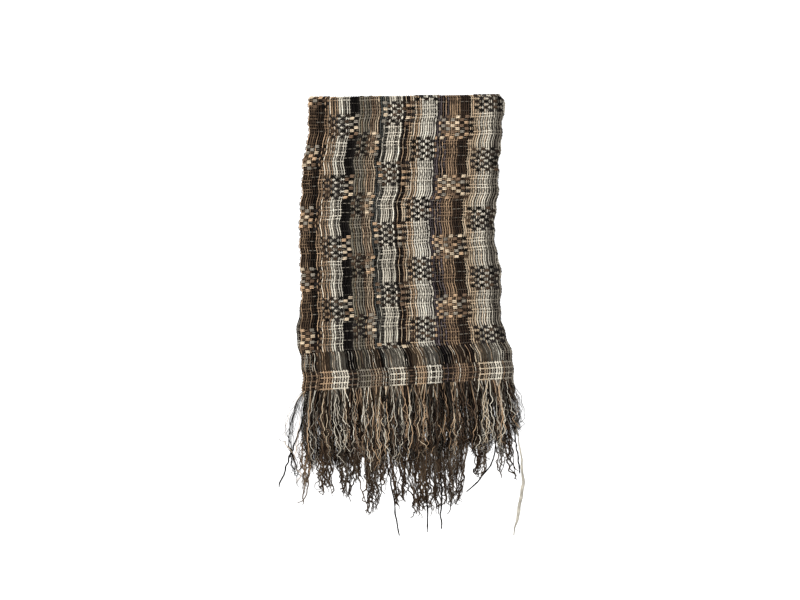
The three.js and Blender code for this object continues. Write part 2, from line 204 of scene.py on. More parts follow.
@dataclass
class FoldedCloth:
    """Where each point of the folded cloth lies, as a function of its place on the cloth.

    A place is a share across the cloth from the left selvedge, and a distance down from the fold.
    """

    fold_rise: float = 5.25
    right_share: float = 0.9645
    wall: float = 2.4
    gap: float = 0.3
    turn_radius: float = 2.3
    turn_lap: float = 6.0
    settled_at: float = 46.0
    openwork_from: float = 540.0
    border_from: float = 579.0
    hem: float = 620.5
    hidden_hem: float = 664.0
    scallop_pitch: float = 43.0
    scallop_depth: float = 1.5
    scallops_from: float = 12.0
    scallops_full: float = 60.0
    right_scallop_phase: float = 1.9
    edge_samples: int = 600
    left: Curve = Curve(
        OUTLINE_PLACES,
        (-193, -196, -196, -197.5, -207, -210, -213, -215, -214, -212.5)
        + (-211, -212, -213, -211, -209, -209, -206),
    )
    right: Curve = Curve(
        OUTLINE_PLACES,
        (206, 210, 211, 208, 203, 203, 196, 194, 197, 203, 205, 209, 218, 229, 232, 233.5, 232),
    )
    peep_left: Curve = Curve(
        PEEP_PLACES,
        (-3, -2.5, -2, -2, -2, -2.5, -1, -2, -2, -1, 3, 8, 3, -1, -2, -1),
    )
    peep_right: Curve = Curve(
        PEEP_PLACES,
        (-2, 6.5, 5, 0.5, 3.5, -1.5, 3, 0, 5, 4, 0.5, 2.5, 4.5, 3, 3.5, -1),
    )
    swells: tuple[tuple[float, ...], ...] = (
        (0.16, 120, 60, 95, 1.9),
        (0.72, 190, 74, 70, 2.3),
        (0.34, 300, 50, 120, 1.7),
        (0.9, 395, 42, 60, 2.1),
        (0.08, 455, 34, 58, 2.2),
        (0.55, 470, 88, 60, 1.5),
        (0.82, 560, 60, 50, 1.6),
    )
    shift: np.ndarray = field(default_factory=lambda: np.zeros(2))

    def __post_init__(self) -> None:
        """Find how far the part's frame lies from the middle of the fold's left end."""
        down = np.linspace(self.hidden_start, self.hidden_hem, self.edge_samples)
        left, right = self.edges(down, 1.0)
        low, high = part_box("hidden_panel")
        top = self.fold_rise - self.hidden_start * self.right_share
        middle = (low.x + high.x) / 2 / MM - (left.min() + right.max()) / 2
        self.shift = np.array([middle, high.y / MM - top])

    @property
    def turn_centre(self) -> float:
        """How far the middle of the turn at the fold lies above the floor, and below the fold line."""
        return self.turn_radius + self.wall / 2

    @property
    def hidden_start(self) -> float:
        """Where the hidden half begins, past the cloth that turns under itself."""
        return self.turn_centre + self.turn_lap + self.gap

    @property
    def start(self) -> float:
        """The place of the turned cloth's end, counted back from the fold along the cloth."""
        return self.turn_centre - math.pi * self.turn_radius - self.turn_lap

    def edges(self, down: np.ndarray, peep: float) -> tuple[np.ndarray, np.ndarray]:
        """Find the two selvedges: a smooth curve each, with a shallow scallop along it.

        Args:
            down: Distances down from the fold.
            peep: 0 for the showing half and 1 for the hidden one.

        Returns:
            The left and right selvedges' distances from the middle line.
        """
        grown = ease(down, self.scallops_from, self.scallops_full) * self.scallop_depth
        wave = 2 * math.pi * down / self.scallop_pitch
        on_right = down * self.right_share
        left = self.left.at(down) - grown * np.sin(wave) - peep * self.peep_left.at(down)
        right = self.right.at(on_right) + grown * np.sin(wave + self.right_scallop_phase)
        return left, right + peep * self.peep_right.at(on_right)

    def plan(self, across: np.ndarray, down: np.ndarray, peep: float) -> tuple[np.ndarray, np.ndarray]:
        """Place points in plan: across the width between the selvedges, and down in straight rows.

        Args:
            across: Shares of the width from the left selvedge.
            down: Distances down from the fold.
            peep: 0 for the showing half and 1 for the hidden one.

        Returns:
            X and Y in millimetres in the part's frame.
        """
        left, right = self.edges(down, peep)
        share = 1.0 + (self.right_share - 1.0) * across
        x = left + (right - left) * across + self.shift[0]
        return x, self.fold_rise * across - down * share + self.shift[1]

    def swell(self, across: np.ndarray, down: np.ndarray) -> np.ndarray:
        """Add up the low round swells of the showing half, each an eased dome on an ellipse.

        Args:
            across: Shares of the width.
            down: Distances down from the fold.

        Returns:
            How far each place is lifted, in millimetres.
        """
        x, y = self.plan(across, down, 0.0)
        lift = np.zeros(np.broadcast(x, y).shape)
        for where, along, half_width, half_length, height in self.swells:
            mx, my = self.plan(np.float64(where), np.float64(along), 0.0)
            off = np.hypot((x - mx) / half_width, (y - my) / half_length)
            lift += height * (1.0 - ease(off, 0.0, 1.0))
        return lift

    def showing(
        self,
        across: np.ndarray,
        along: np.ndarray,
        lift: np.ndarray | float,
        shift: np.ndarray | float = 0.0,
    ) -> np.ndarray:
        """Place points on the showing half, which rolls over at the fold and then lies level.

        Above the turn's centre the cloth follows a half circle about it, and past that circle it
        runs back level underneath. Below, it settles from the fold's height to its own by an ease.

        Args:
            across: Shares of the width.
            along: Distances along the cloth from the fold, negative where it is turned under.
            lift: Heights outwards from the middle of the wall.
            shift: Sideways shifts in millimetres.

        Returns:
            Points in metres.
        """
        across, along = np.broadcast_arrays(across, along)
        turned = np.clip(self.turn_centre - along, 0.0, math.pi * self.turn_radius)
        back = np.clip(self.turn_centre - along - math.pi * self.turn_radius, 0.0, None)
        angle = math.pi / 2 - turned / self.turn_radius
        flat_x, flat_y = self.plan(across, np.maximum(along, self.turn_centre), 0.0)
        top_x, _ = self.plan(across, np.zeros_like(across), 0.0)
        share = 1.0 + (self.right_share - 1.0) * across
        radius = self.turn_radius + lift
        level = self.wall + self.gap + self.wall / 2
        settled = ease(along, self.turn_centre, self.settled_at)
        rolled = self.turn_centre + self.turn_radius
        high = rolled + (level - rolled) * settled + self.swell(across, np.maximum(along, 0.0)) + lift
        centre = self.fold_rise * across - (self.turn_centre + back) * share + self.shift[1]
        in_turn = turned > 0
        x = np.where(in_turn, top_x, flat_x) + shift
        y = np.where(in_turn, centre + radius * np.cos(angle), flat_y)
        z = np.where(in_turn, self.turn_centre + radius * np.sin(angle), high)
        return np.stack([x, y, z], axis=-1) * MM

    def hidden(self, across: np.ndarray, down: np.ndarray, height: np.ndarray | float) -> np.ndarray:
        """Place points on the hidden half, which lies level on the floor.

        Args:
            across: Shares of the width.
            down: Distances down from the fold.
            height: Heights above the floor.

        Returns:
            Points in metres.
        """
        across, down = np.broadcast_arrays(across, down)
        x, y = self.plan(across, down, 1.0)
        return np.stack([x, y, np.broadcast_to(height, x.shape)], axis=-1) * MM

    def share_of(self, x: np.ndarray, down: float, peep: float) -> np.ndarray:
        """Turn distances from the middle line into shares of the width at one row.

        Args:
            x: Distances from the middle line.
            down: The row's distance down from the fold.
            peep: 0 for the showing half and 1 for the hidden one.

        Returns:
            The shares, from the left selvedge.
        """
        left, right = self.edges(np.float64(down), peep)
        return (x - left) / (right - left)


class Weave(Enum):
    """How the yarns cross at one place of the cloth."""

    LADDER = 0
    LATTICE = 1
    CHECK = 2


@dataclass
class StripePlan:
    """The colour of each column of yarns, and where the crosswise yarns show.

    pitch is the distance between crosswise yarns. A block's repeat is counted in them, and begins
    with rows of checks and ends with bare ladder rows. Each block has its width in columns and the
    rows that it is dropped by. The stripes' widths add up to all the columns.
    """

    pitch: float = 540.0 / 84
    repeat: int = 20
    check_rows: int = 8
    check_width: int = 2
    ladder_rows: int = 4
    astray: float = 1.1
    swapped_share: float = 0.18
    overhang: float = 0.001
    blocks: tuple[tuple[int, int], ...] = (
        (9, 3),
        (13, 13),
        (10, 7),
        (14, 17),
        (11, 5),
        (15, 12),
        (12, 1),
    )
    stripes: tuple[tuple[Yarn, Yarn, int], ...] = (
        (Yarn.DARK_BROWN, Yarn.TAN, 4),
        (Yarn.BLACK, Yarn.DARK_BROWN, 3),
        (Yarn.TAN, Yarn.WARM_BROWN, 5),
        (Yarn.CREAM, Yarn.SILVER, 6),
        (Yarn.BLACK, Yarn.CHARCOAL, 4),
        (Yarn.GREY, Yarn.OLIVE, 5),
        (Yarn.WARM_BROWN, Yarn.SAND, 4),
        (Yarn.BLACK, Yarn.SLATE, 3),
        (Yarn.CREAM, Yarn.GREY, 7),
        (Yarn.BLACK_BROWN, Yarn.BLACK, 3),
        (Yarn.TAN, Yarn.SAND, 5),
        (Yarn.SILVER, Yarn.CREAM, 6),
        (Yarn.BLACK, Yarn.MAUVE, 5),
        (Yarn.WARM_BROWN, Yarn.TAN, 6),
        (Yarn.BLACK_BROWN, Yarn.DARK_BROWN, 4),
        (Yarn.SAND, Yarn.TAN, 5),
        (Yarn.CREAM, Yarn.SILVER, 5),
        (Yarn.GREY, Yarn.BLACK_BROWN, 4),
    )

    def colours(self) -> tuple[np.ndarray, np.ndarray]:
        """Spread the stripes over the columns.

        Returns:
            The main and the second colour of each column, as light.
        """
        counts = [count for _, _, count in self.stripes]
        main = np.array([first.linear for first, _, _ in self.stripes])
        second = np.array([other.linear for _, other, _ in self.stripes])
        return np.repeat(main, counts, axis=0), np.repeat(second, counts, axis=0)

    def weave(self, rows: int) -> tuple[np.ndarray, np.ndarray]:
        """Lay out the crossings: blocks of checks, then lattice, then bare ladder.

        The columns stand in groups, and each group's repeat starts at a drop of its own. Inside a
        block the checks alternate with the lattice like a chessboard.

        Args:
            rows: How many crosswise yarns there are.

        Returns:
            The weave at each column and row, and the number of the check there, or -1.
        """
        column = np.arange(COLUMNS)[:, None]
        row = np.arange(rows)[None, :]
        counts = [count for count, _ in self.blocks]
        drops = [drop for _, drop in self.blocks]
        place = (row + np.repeat(drops, counts)[:, None]) % self.repeat
        kind = np.full((COLUMNS, rows), Weave.LATTICE.value)
        kind[place >= self.repeat - self.ladder_rows] = Weave.LADDER.value
        brick = column // self.check_width
        filled = (place < self.check_rows) & ((brick + place) % 2 == 0)
        kind[filled] = Weave.CHECK.value
        return kind, np.where(filled, brick + COLUMNS * row, -1)

    @staticmethod
    def crossings(rows: int) -> np.ndarray:
        """Say at each column and row which yarn is above: 1 the lengthwise, -1 the crosswise one."""
        return np.where((np.arange(COLUMNS)[:, None] + np.arange(rows)) % 2 == 0, 1.0, -1.0)

    def crosswise(self) -> np.ndarray:
        """Give a crosswise yarn's places: two in each column, and one past each selvedge."""
        inner = np.arange(0.5, 2 * COLUMNS) / (2 * COLUMNS)
        return np.concatenate([[-self.overhang], inner, [1.0 + self.overhang]])

    def yarn_colours(
        self,
        rng: np.random.Generator,
        count: int,
        own: float,
    ) -> tuple[np.ndarray, np.ndarray]:
        """Draw two colours for each yarn of each column, between which its dye changes.

        Most yarns take their stripe's two colours, some a stripe's close by, and the rest are drawn
        by how common each colour is in the whole scarf.

        Args:
            rng: The source of the draws.
            count: How many yarns a column has.
            own: The share of the yarns that follow the stripes.

        Returns:
            The first and second colours, as columns by yarns by three.
        """
        main, second = self.colours()
        shape = (COLUMNS, count)
        astray = np.rint(rng.normal(0, self.astray, shape)).astype(int)
        near = np.clip(np.arange(COLUMNS)[:, None] + astray, 0, COLUMNS - 1)
        swapped = (rng.random(shape) < self.swapped_share)[..., None]
        first = np.where(swapped, second[near], main[near])
        other = np.where(swapped, main[near], second[near])
        drawn = common_yarns(rng, (2, *shape))
        follows = (rng.random(shape) < own)[..., None]
        return np.where(follows, first, drawn[0]), np.where(follows, other, drawn[1])


@dataclass
class Bundle:
    """Yarns that are swept along their lines and joined in one mesh."""

    name: str
    points: list[np.ndarray] = field(default_factory=list)
    tints: list[np.ndarray] = field(default_factory=list)
    quads: list[np.ndarray] = field(default_factory=list)
    caps: list[np.ndarray] = field(default_factory=list)
    quad_maps: list[np.ndarray] = field(default_factory=list)
    count: int = 0

    def add(
        self,
        lines: np.ndarray,
        tint: np.ndarray,
        half_width: np.ndarray | float,
        half_height: np.ndarray | float,
        side: tuple[float, float, float] = (1.0, 0.0, 0.0),
        sides: int = 3,
    ) -> None:
        """Sweep an ellipse along each line, in the plane square to the line.

        A ring's points are the line's point plus cosine times the half width along the side
        direction, made square to the line, plus sine times the half height along the third one.

        Args:
            lines: Points in metres, as lines by samples by three.
            tint: Colours as light, as lines by samples by three.
            half_width: Half widths in millimetres, for each sample or for all.
            half_height: Half heights in millimetres.
            side: The direction that the width follows.
            sides: How many sides a tube has.
        """
        rows, samples, _ = lines.shape
        tangent = np.gradient(lines, axis=1)
        tangent /= np.linalg.norm(tangent, axis=2, keepdims=True) + TINY
        hint = np.asarray(side, float)
        wide = hint - (tangent @ hint)[..., None] * tangent
        wide /= np.linalg.norm(wide, axis=2, keepdims=True) + TINY
        tall = np.cross(wide, tangent)
        angle = math.pi / 2 + 2 * math.pi * np.arange(sides) / sides
        reach_w = np.broadcast_to(half_width, (rows, samples))[..., None] * np.cos(angle) * MM
        reach_t = np.broadcast_to(half_height, (rows, samples))[..., None] * np.sin(angle) * MM
        off_wide = wide[:, :, None] * reach_w[..., None]
        off_tall = tall[:, :, None] * reach_t[..., None]
        rings = lines[:, :, None] + off_wide + off_tall
        index = self.count + np.arange(rows * samples * sides).reshape(rows, samples, sides)
        here, there = index[:, :-1], index[:, 1:]
        quads = np.stack([here, np.roll(here, -1, 2), np.roll(there, -1, 2), there], axis=-1)
        length = np.zeros((rows, samples))
        length[:, 1:] = np.cumsum(np.linalg.norm(np.diff(lines, axis=1), axis=2), axis=1) / MM
        u0, u1 = length[:, :-1, None], length[:, 1:, None]
        round_it = np.arange(sides) / sides
        v0, v1 = round_it[None, None], round_it[None, None] + 1.0 / sides
        corners = [(u0, v0), (u0, v1), (u1, v1), (u1, v0)]
        maps = [np.stack(np.broadcast_arrays(u, v), axis=-1) for u, v in corners]
        self.points.append(rings.reshape(-1, 3))
        self.tints.append(np.repeat(np.clip(tint, 0, 1).reshape(-1, 3), sides, axis=0))
        self.quads.append(quads.reshape(-1, 4))
        self.quad_maps.append(np.stack(maps, axis=-2).reshape(-1, 4, 2))
        self.caps.append(np.concatenate([index[:, 0, ::-1], index[:, -1]]))
        self.count += rows * samples * sides

    def build(self, material: bpy.types.Material) -> bpy.types.Object:
        """Make the joined mesh, turn its faces outwards and give it its map, tint and material.

        Args:
            material: The finish of the yarns.

        Returns:
            The new object, at the origin.
        """
        caps: dict[int, list[np.ndarray]] = {}
        for cap in self.caps:
            caps.setdefault(cap.shape[1], []).append(cap)
        faces = [np.concatenate(self.quads)] + [np.concatenate(group) for group in caps.values()]
        maps = np.concatenate(self.quad_maps).reshape(-1, 2)
        cap_loops = sum(group.size for group in faces[1:])
        maps = np.concatenate([maps, np.zeros((cap_loops, 2))])
        points = np.concatenate(self.points)
        piece = make_mesh(self.name, points, faces, maps, np.concatenate(self.tints))
        piece.data.materials.append(material)
        return piece


def make_mesh(
    name: str,
    points: np.ndarray,
    faces: list[np.ndarray],
    maps: np.ndarray,
    tints: np.ndarray,
) -> bpy.types.Object:
    """Put arrays into a new smooth mesh, with its faces pointing out.

    The faces are turned round together where the volume that they enclose comes out negative.

    Args:
        name: The piece's name.
        points: The vertices in metres.
        faces: Arrays of vertex numbers, each with faces of one length.
        maps: A flat coordinate for each corner of each face.
        tints: A colour for each vertex.

    Returns:
        The new object, at the origin.
    """
    quads = faces[0]
    a, b, c, d = (points[quads[:, k]] for k in range(4))
    volume = (a * np.cross(b, c)).sum() + (a * np.cross(c, d)).sum()
    if volume < 0:
        faces = [group[:, ::-1] for group in faces]
        start, flipped = 0, []
        for group in faces:
            part = maps[start : start + group.size].reshape(*group.shape, 2)
            flipped.append(part[:, ::-1].reshape(-1, 2))
            start += group.size
        maps = np.concatenate(flipped)
    mesh = bpy.data.meshes.new(name)
    loops = np.concatenate([group.ravel() for group in faces]).astype(np.int32)
    totals = np.concatenate([np.full(len(group), group.shape[1]) for group in faces]).astype(np.int32)
    starts = np.concatenate([[0], np.cumsum(totals)[:-1]]).astype(np.int32)
    mesh.vertices.add(len(points))
    mesh.vertices.foreach_set("co", points.astype(np.float32).ravel())
    mesh.loops.add(len(loops))
    mesh.loops.foreach_set("vertex_index", loops)
    mesh.polygons.add(len(totals))
    mesh.polygons.foreach_set("loop_start", starts)
    mesh.polygons.foreach_set("loop_total", totals)
    mesh.polygons.foreach_set("use_smooth", np.ones(len(totals), bool))
    layer = mesh.uv_layers.new(name=YARN_MAP)
    layer.data.foreach_set("uv", maps.astype(np.float32).ravel())
    tint = mesh.color_attributes.new(TINT, "FLOAT_COLOR", "POINT")
    rgba = np.concatenate([tints, np.ones((len(tints), 1))], axis=1)
    tint.data.foreach_set("color", rgba.astype(np.float32).ravel())
    mesh.update(calc_edges=True)
    mesh.validate()
    piece = bpy.data.objects.new(name, mesh)
    bpy.context.scene.collection.objects.link(piece)
    return piece


def make_wall(
    name: str,
    top: np.ndarray,
    under: np.ndarray,
    maps: np.ndarray,
    tints: np.ndarray,
    material: bpy.types.Material,
    painted_top_shade: float = 1.0,
) -> bpy.types.Object:
    """Close two grids of points into one thin wall, with faces round its rim.

    Args:
        name: The piece's name.
        top: The upper grid in metres, as rows by columns by three.
        under: The lower grid, with the same rows and columns.
        maps: A flat coordinate for each point of the grid.
        tints: A colour for each point of the grid.
        material: The wall's finish.
        painted_top_shade: How much of its colour the upper face keeps, as painted shade.

    Returns:
        The new object.
    """
    rows, columns, _ = top.shape
    upper = np.arange(rows * columns).reshape(rows, columns)
    lower = upper + rows * columns

    def strip(first: np.ndarray, second: np.ndarray) -> np.ndarray:
        """Join two rows of vertices by a strip of faces."""
        return np.stack([first[:-1], first[1:], second[1:], second[:-1]], axis=-1)

    def field_of(grid: np.ndarray) -> np.ndarray:
        """Join all the rows of a grid."""
        return np.concatenate([strip(grid[i + 1], grid[i]) for i in range(rows - 1)])

    faces = np.concatenate(
        [
            field_of(upper),
            field_of(lower)[:, ::-1],
            strip(upper[0], lower[0])[:, ::-1],
            strip(upper[-1], lower[-1]),
            strip(upper[:, 0], lower[:, 0]),
            strip(upper[:, -1], lower[:, -1])[:, ::-1],
        ]
    )
    flat = np.concatenate([maps.reshape(-1, 2)] * 2)
    # Painted shade: the upper face may keep only a share of its colour.
    colour = np.concatenate([tints.reshape(-1, 3) * painted_top_shade, tints.reshape(-1, 3)])
    points = np.concatenate([top.reshape(-1, 3), under.reshape(-1, 3)])
    piece = make_mesh(name, points, [faces], flat[faces.ravel()], colour)
    piece.data.materials.append(material)
    return piece


def group_with(
    name: str,
    inputs: list[tuple[str, str, object]],
    outputs: list[tuple[str, str]],
) -> tuple[bpy.types.NodeTree, bpy.types.Node, bpy.types.Node]:
    """Start a shader node group with named sockets.

    Args:
        name: The group's name.
        inputs: The name, socket type and first value of each input.
        outputs: The name and socket type of each output.

    Returns:
        The group, its input node and its output node.
    """
    group = bpy.data.node_groups.new(name, "ShaderNodeTree")
    for label, kind, value in inputs:
        socket = group.interface.new_socket(label, in_out="INPUT", socket_type=kind)
        socket.default_value = value
    for label, kind in outputs:
        group.interface.new_socket(label, in_out="OUTPUT", socket_type=kind)
    return group, group.nodes.new("NodeGroupInput"), group.nodes.new("NodeGroupOutput")


def fill_socket(tree: bpy.types.NodeTree, socket: bpy.types.NodeSocket, value: object) -> None:
    """Link a node's input to another socket, or set it to a number."""
    if isinstance(value, bpy.types.NodeSocket):
        tree.links.new(value, socket)
    elif value is not None:
        socket.default_value = value


def math_node(
    tree: bpy.types.NodeTree,
    operation: str,
    first: object,
    second: object = None,
) -> bpy.types.NodeSocket:
    """Add a Math node with its inputs linked or set.

    Args:
        tree: The tree that it goes in.
        operation: The node's operation.
        first: A socket or a number.
        second: A socket or a number, where the operation has two.

    Returns:
        The node's output.
    """
    node = tree.nodes.new("ShaderNodeMath")
    node.operation = operation
    for socket, value in zip(node.inputs, (first, second)):
        fill_socket(tree, socket, value)
    return node.outputs[0]


def noise_node(tree: bpy.types.NodeTree, scale: object, detail: float) -> bpy.types.NodeSocket:
    """Add noise on the object's own coordinates.

    Args:
        tree: The tree that it goes in.
        scale: How fine it is, as a socket or a number.
        detail: How many finer layers it adds up.

    Returns:
        The noise, from 0 to 1.
    """
    coords = tree.nodes.new("ShaderNodeTexCoord")
    noise = tree.nodes.new("ShaderNodeTexNoise")
    noise.inputs["Detail"].default_value = detail
    tree.links.new(coords.outputs["Object"], noise.inputs["Vector"])
    fill_socket(tree, noise.inputs["Scale"], scale)
    return noise.outputs["Fac"]


def bump_node(tree: bpy.types.NodeTree, height: bpy.types.NodeSocket, distance: float) -> bpy.types.Node:
    """Add a Bump node that raises the surface by a height of up to a distance in metres."""
    bump = tree.nodes.new("ShaderNodeBump")
    bump.inputs["Distance"].default_value = distance
    tree.links.new(height, bump.inputs["Height"])
    return bump


def map_places(tree: bpy.types.NodeTree) -> tuple[bpy.types.NodeSocket, bpy.types.NodeSocket]:
    """Read the flat map of a piece.

    Args:
        tree: The tree that the nodes go in.

    Returns:
        The map's two coordinates.
    """
    mapped = tree.nodes.new("ShaderNodeUVMap")
    mapped.uv_map = YARN_MAP
    split = tree.nodes.new("ShaderNodeSeparateXYZ")
    tree.links.new(mapped.outputs["UV"], split.inputs["Vector"])
    return split.outputs["X"], split.outputs["Y"]


def start_material(
    name: str,
    roughness: float,
    specular: float,
) -> tuple[bpy.types.Material, bpy.types.Node]:
    """Start a material with its main shader.

    Args:
        name: The material's name.
        roughness: How rough it is, from 0 to 1.
        specular: How strongly it mirrors.

    Returns:
        The material and its shader node.
    """
    made = bpy.data.materials.new(name)
    made.use_nodes = True
    shader = made.node_tree.nodes["Principled BSDF"]
    shader.inputs["Roughness"].default_value = roughness
    shader.inputs["Specular IOR Level"].default_value = specular
    return made, shader


class SharedEffects:
    """The node groups that several finishes use."""

    broad_scale: float = 34.0
    broad_depth: float = 0.35

    def __init__(self) -> None:
        """Build the groups once."""
        self.melange = self._melange()
        self.ply = self._ply()
        self.fuzz = self._fuzz()

    def _melange(self) -> bpy.types.NodeTree:
        """Mix lighter and darker fibres into a colour, by noise at two scales about its own value."""
        tree, source, sink = group_with(
            "melange",
            [
                ("Color", "NodeSocketColor", (0.5, 0.5, 0.5, 1.0)),
                ("Scale", "NodeSocketFloat", 900.0),
                ("Depth", "NodeSocketFloat", 0.35),
            ],
            [("Color", "NodeSocketColor")],
        )
        fine = math_node(tree, "SUBTRACT", noise_node(tree, source.outputs["Scale"], 3.0), 0.5)
        fine = math_node(tree, "MULTIPLY", fine, source.outputs["Depth"])
        broad = math_node(tree, "SUBTRACT", noise_node(tree, self.broad_scale, 2.0), 0.5)
        broad = math_node(tree, "MULTIPLY", broad, self.broad_depth)
        value = math_node(tree, "ADD", math_node(tree, "ADD", fine, broad), 1.0)
        shade = tree.nodes.new("ShaderNodeHueSaturation")
        tree.links.new(source.outputs["Color"], shade.inputs["Color"])
        tree.links.new(value, shade.inputs["Value"])
        tree.links.new(shade.outputs["Color"], sink.inputs["Color"])
        return tree

    @staticmethod
    def _ply() -> bpy.types.NodeTree:
        """Raise the plies of a twisted yarn: a sine of length along it less turns round it."""
        tree, source, sink = group_with(
            "ply_twist",
            [("Pitch", "NodeSocketFloat", 2.4), ("Plies", "NodeSocketFloat", 2.0)],
            [("Height", "NodeSocketFloat")],
        )
        length, round_it = map_places(tree)
        turns = math_node(tree, "DIVIDE", length, source.outputs["Pitch"])
        plies = math_node(tree, "MULTIPLY", round_it, source.outputs["Plies"])
        phase = math_node(tree, "MULTIPLY", math_node(tree, "SUBTRACT", turns, plies), 2 * math.pi)
        height = math_node(tree, "MULTIPLY", math_node(tree, "SINE", phase), 0.5)
        tree.links.new(math_node(tree, "ADD", height, 0.5), sink.inputs["Height"])
        return tree

    @staticmethod
    def _fuzz() -> bpy.types.NodeTree:
        """Give the height of loose fibres, as fine noise on the object's own coordinates."""
        tree, source, sink = group_with(
            "fibre_fuzz",
            [("Scale", "NodeSocketFloat", 2200.0)],
            [("Height", "NodeSocketFloat")],
        )
        tree.links.new(noise_node(tree, source.outputs["Scale"], 4.0), sink.inputs["Height"])
        return tree

    @staticmethod
    def use(tree: bpy.types.NodeTree, group: bpy.types.NodeTree, **values: float) -> bpy.types.Node:
        """Add one of the groups to a material, with its inputs set.

        Args:
            tree: The material's tree.
            group: The group.
            values: A number for each named input.

        Returns:
            The new node.
        """
        node = tree.nodes.new("ShaderNodeGroup")
        node.node_tree = group
        for label, value in values.items():
            node.inputs[label].default_value = value
        return node

    def tinted(self, tree: bpy.types.NodeTree, scale: float, depth: float) -> bpy.types.NodeSocket:
        """Read a piece's own tint and mix its fibres.

        Args:
            tree: The material's tree.
            scale: How fine the fibres are.
            depth: How far they differ.

        Returns:
            The mixed colour.
        """
        tint = tree.nodes.new("ShaderNodeAttribute")
        tint.attribute_name = TINT
        melange = self.use(tree, self.melange, Scale=scale, Depth=depth)
        tree.links.new(tint.outputs["Color"], melange.inputs["Color"])
        return melange.outputs["Color"]


@dataclass(frozen=True)
class YarnFinish:
    """A spun yarn: its tint with melange fibres, a twisted ply and a soft fuzz."""

    name: str
    roughness: float = 0.9
    sheen: float = 0.01
    specular: float = 0.02
    melange_scale: float = 900.0
    melange_depth: float = 0.4
    ply_pitch: float = 2.4
    ply_depth: float = 0.00035
    fuzz_depth: float = 0.00012

    def material(self, effects: SharedEffects) -> bpy.types.Material:
        """Build the material: tint to colour, and ply and fuzz to the normal.

        Args:
            effects: The shared node groups.

        Returns:
            The new material.
        """
        made, shader = start_material(self.name, self.roughness, self.specular)
        shader.inputs["Sheen Weight"].default_value = self.sheen
        tree = made.node_tree
        colour = effects.tinted(tree, self.melange_scale, self.melange_depth)
        tree.links.new(colour, shader.inputs["Base Color"])
        ply = effects.use(tree, effects.ply, Pitch=self.ply_pitch)
        coarse = bump_node(tree, ply.outputs["Height"], self.ply_depth)
        fuzz = effects.use(tree, effects.fuzz)
        fine = bump_node(tree, fuzz.outputs["Height"], self.fuzz_depth)
        tree.links.new(coarse.outputs["Normal"], fine.inputs["Normal"])
        tree.links.new(fine.outputs["Normal"], shader.inputs["Normal"])
        return made


@dataclass(frozen=True)
class GroundFinish:
    """The thin ground behind the yarns, with the same columns and rows faintly in it, and painted shade
    between them.
    """

    name: str
    roughness: float = 0.95
    specular: float = 0.04
    melange_scale: float = 900.0
    melange_depth: float = 0.35
    depth: float = 0.0008
    bead_share: float = 0.35
    shade: float = 0.55

    def material(self, effects: SharedEffects) -> bpy.types.Material:
        """Build the material: a ridge for each column and a bead for each row, with painted shade that
        darkens the colour between the ridges.

        Args:
            effects: The shared node groups.

        Returns:
            The new material.
        """
        made, shader = start_material(self.name, self.roughness, self.specular)
        tree = made.node_tree
        column, row = (math_node(tree, "MULTIPLY", place, math.pi) for place in map_places(tree))
        ridge = math_node(tree, "ABSOLUTE", math_node(tree, "SINE", column))
        bead = math_node(tree, "ABSOLUTE", math_node(tree, "SINE", row))
        height = math_node(tree, "ADD", ridge, math_node(tree, "MULTIPLY", bead, self.bead_share))
        bump = bump_node(tree, height, self.depth)
        tree.links.new(bump.outputs["Normal"], shader.inputs["Normal"])
        # Painted shade: the colour keeps only part of itself between the ridges, and all of it on their
        # tops.
        shade = tree.nodes.new("ShaderNodeHueSaturation")
        lit = math_node(tree, "MULTIPLY", ridge, self.shade)
        tree.links.new(math_node(tree, "ADD", lit, 1.0 - self.shade), shade.inputs["Value"])
        colour = effects.tinted(tree, self.melange_scale, self.melange_depth)
        tree.links.new(colour, shade.inputs["Color"])
        tree.links.new(shade.outputs["Color"], shader.inputs["Base Color"])
        return made


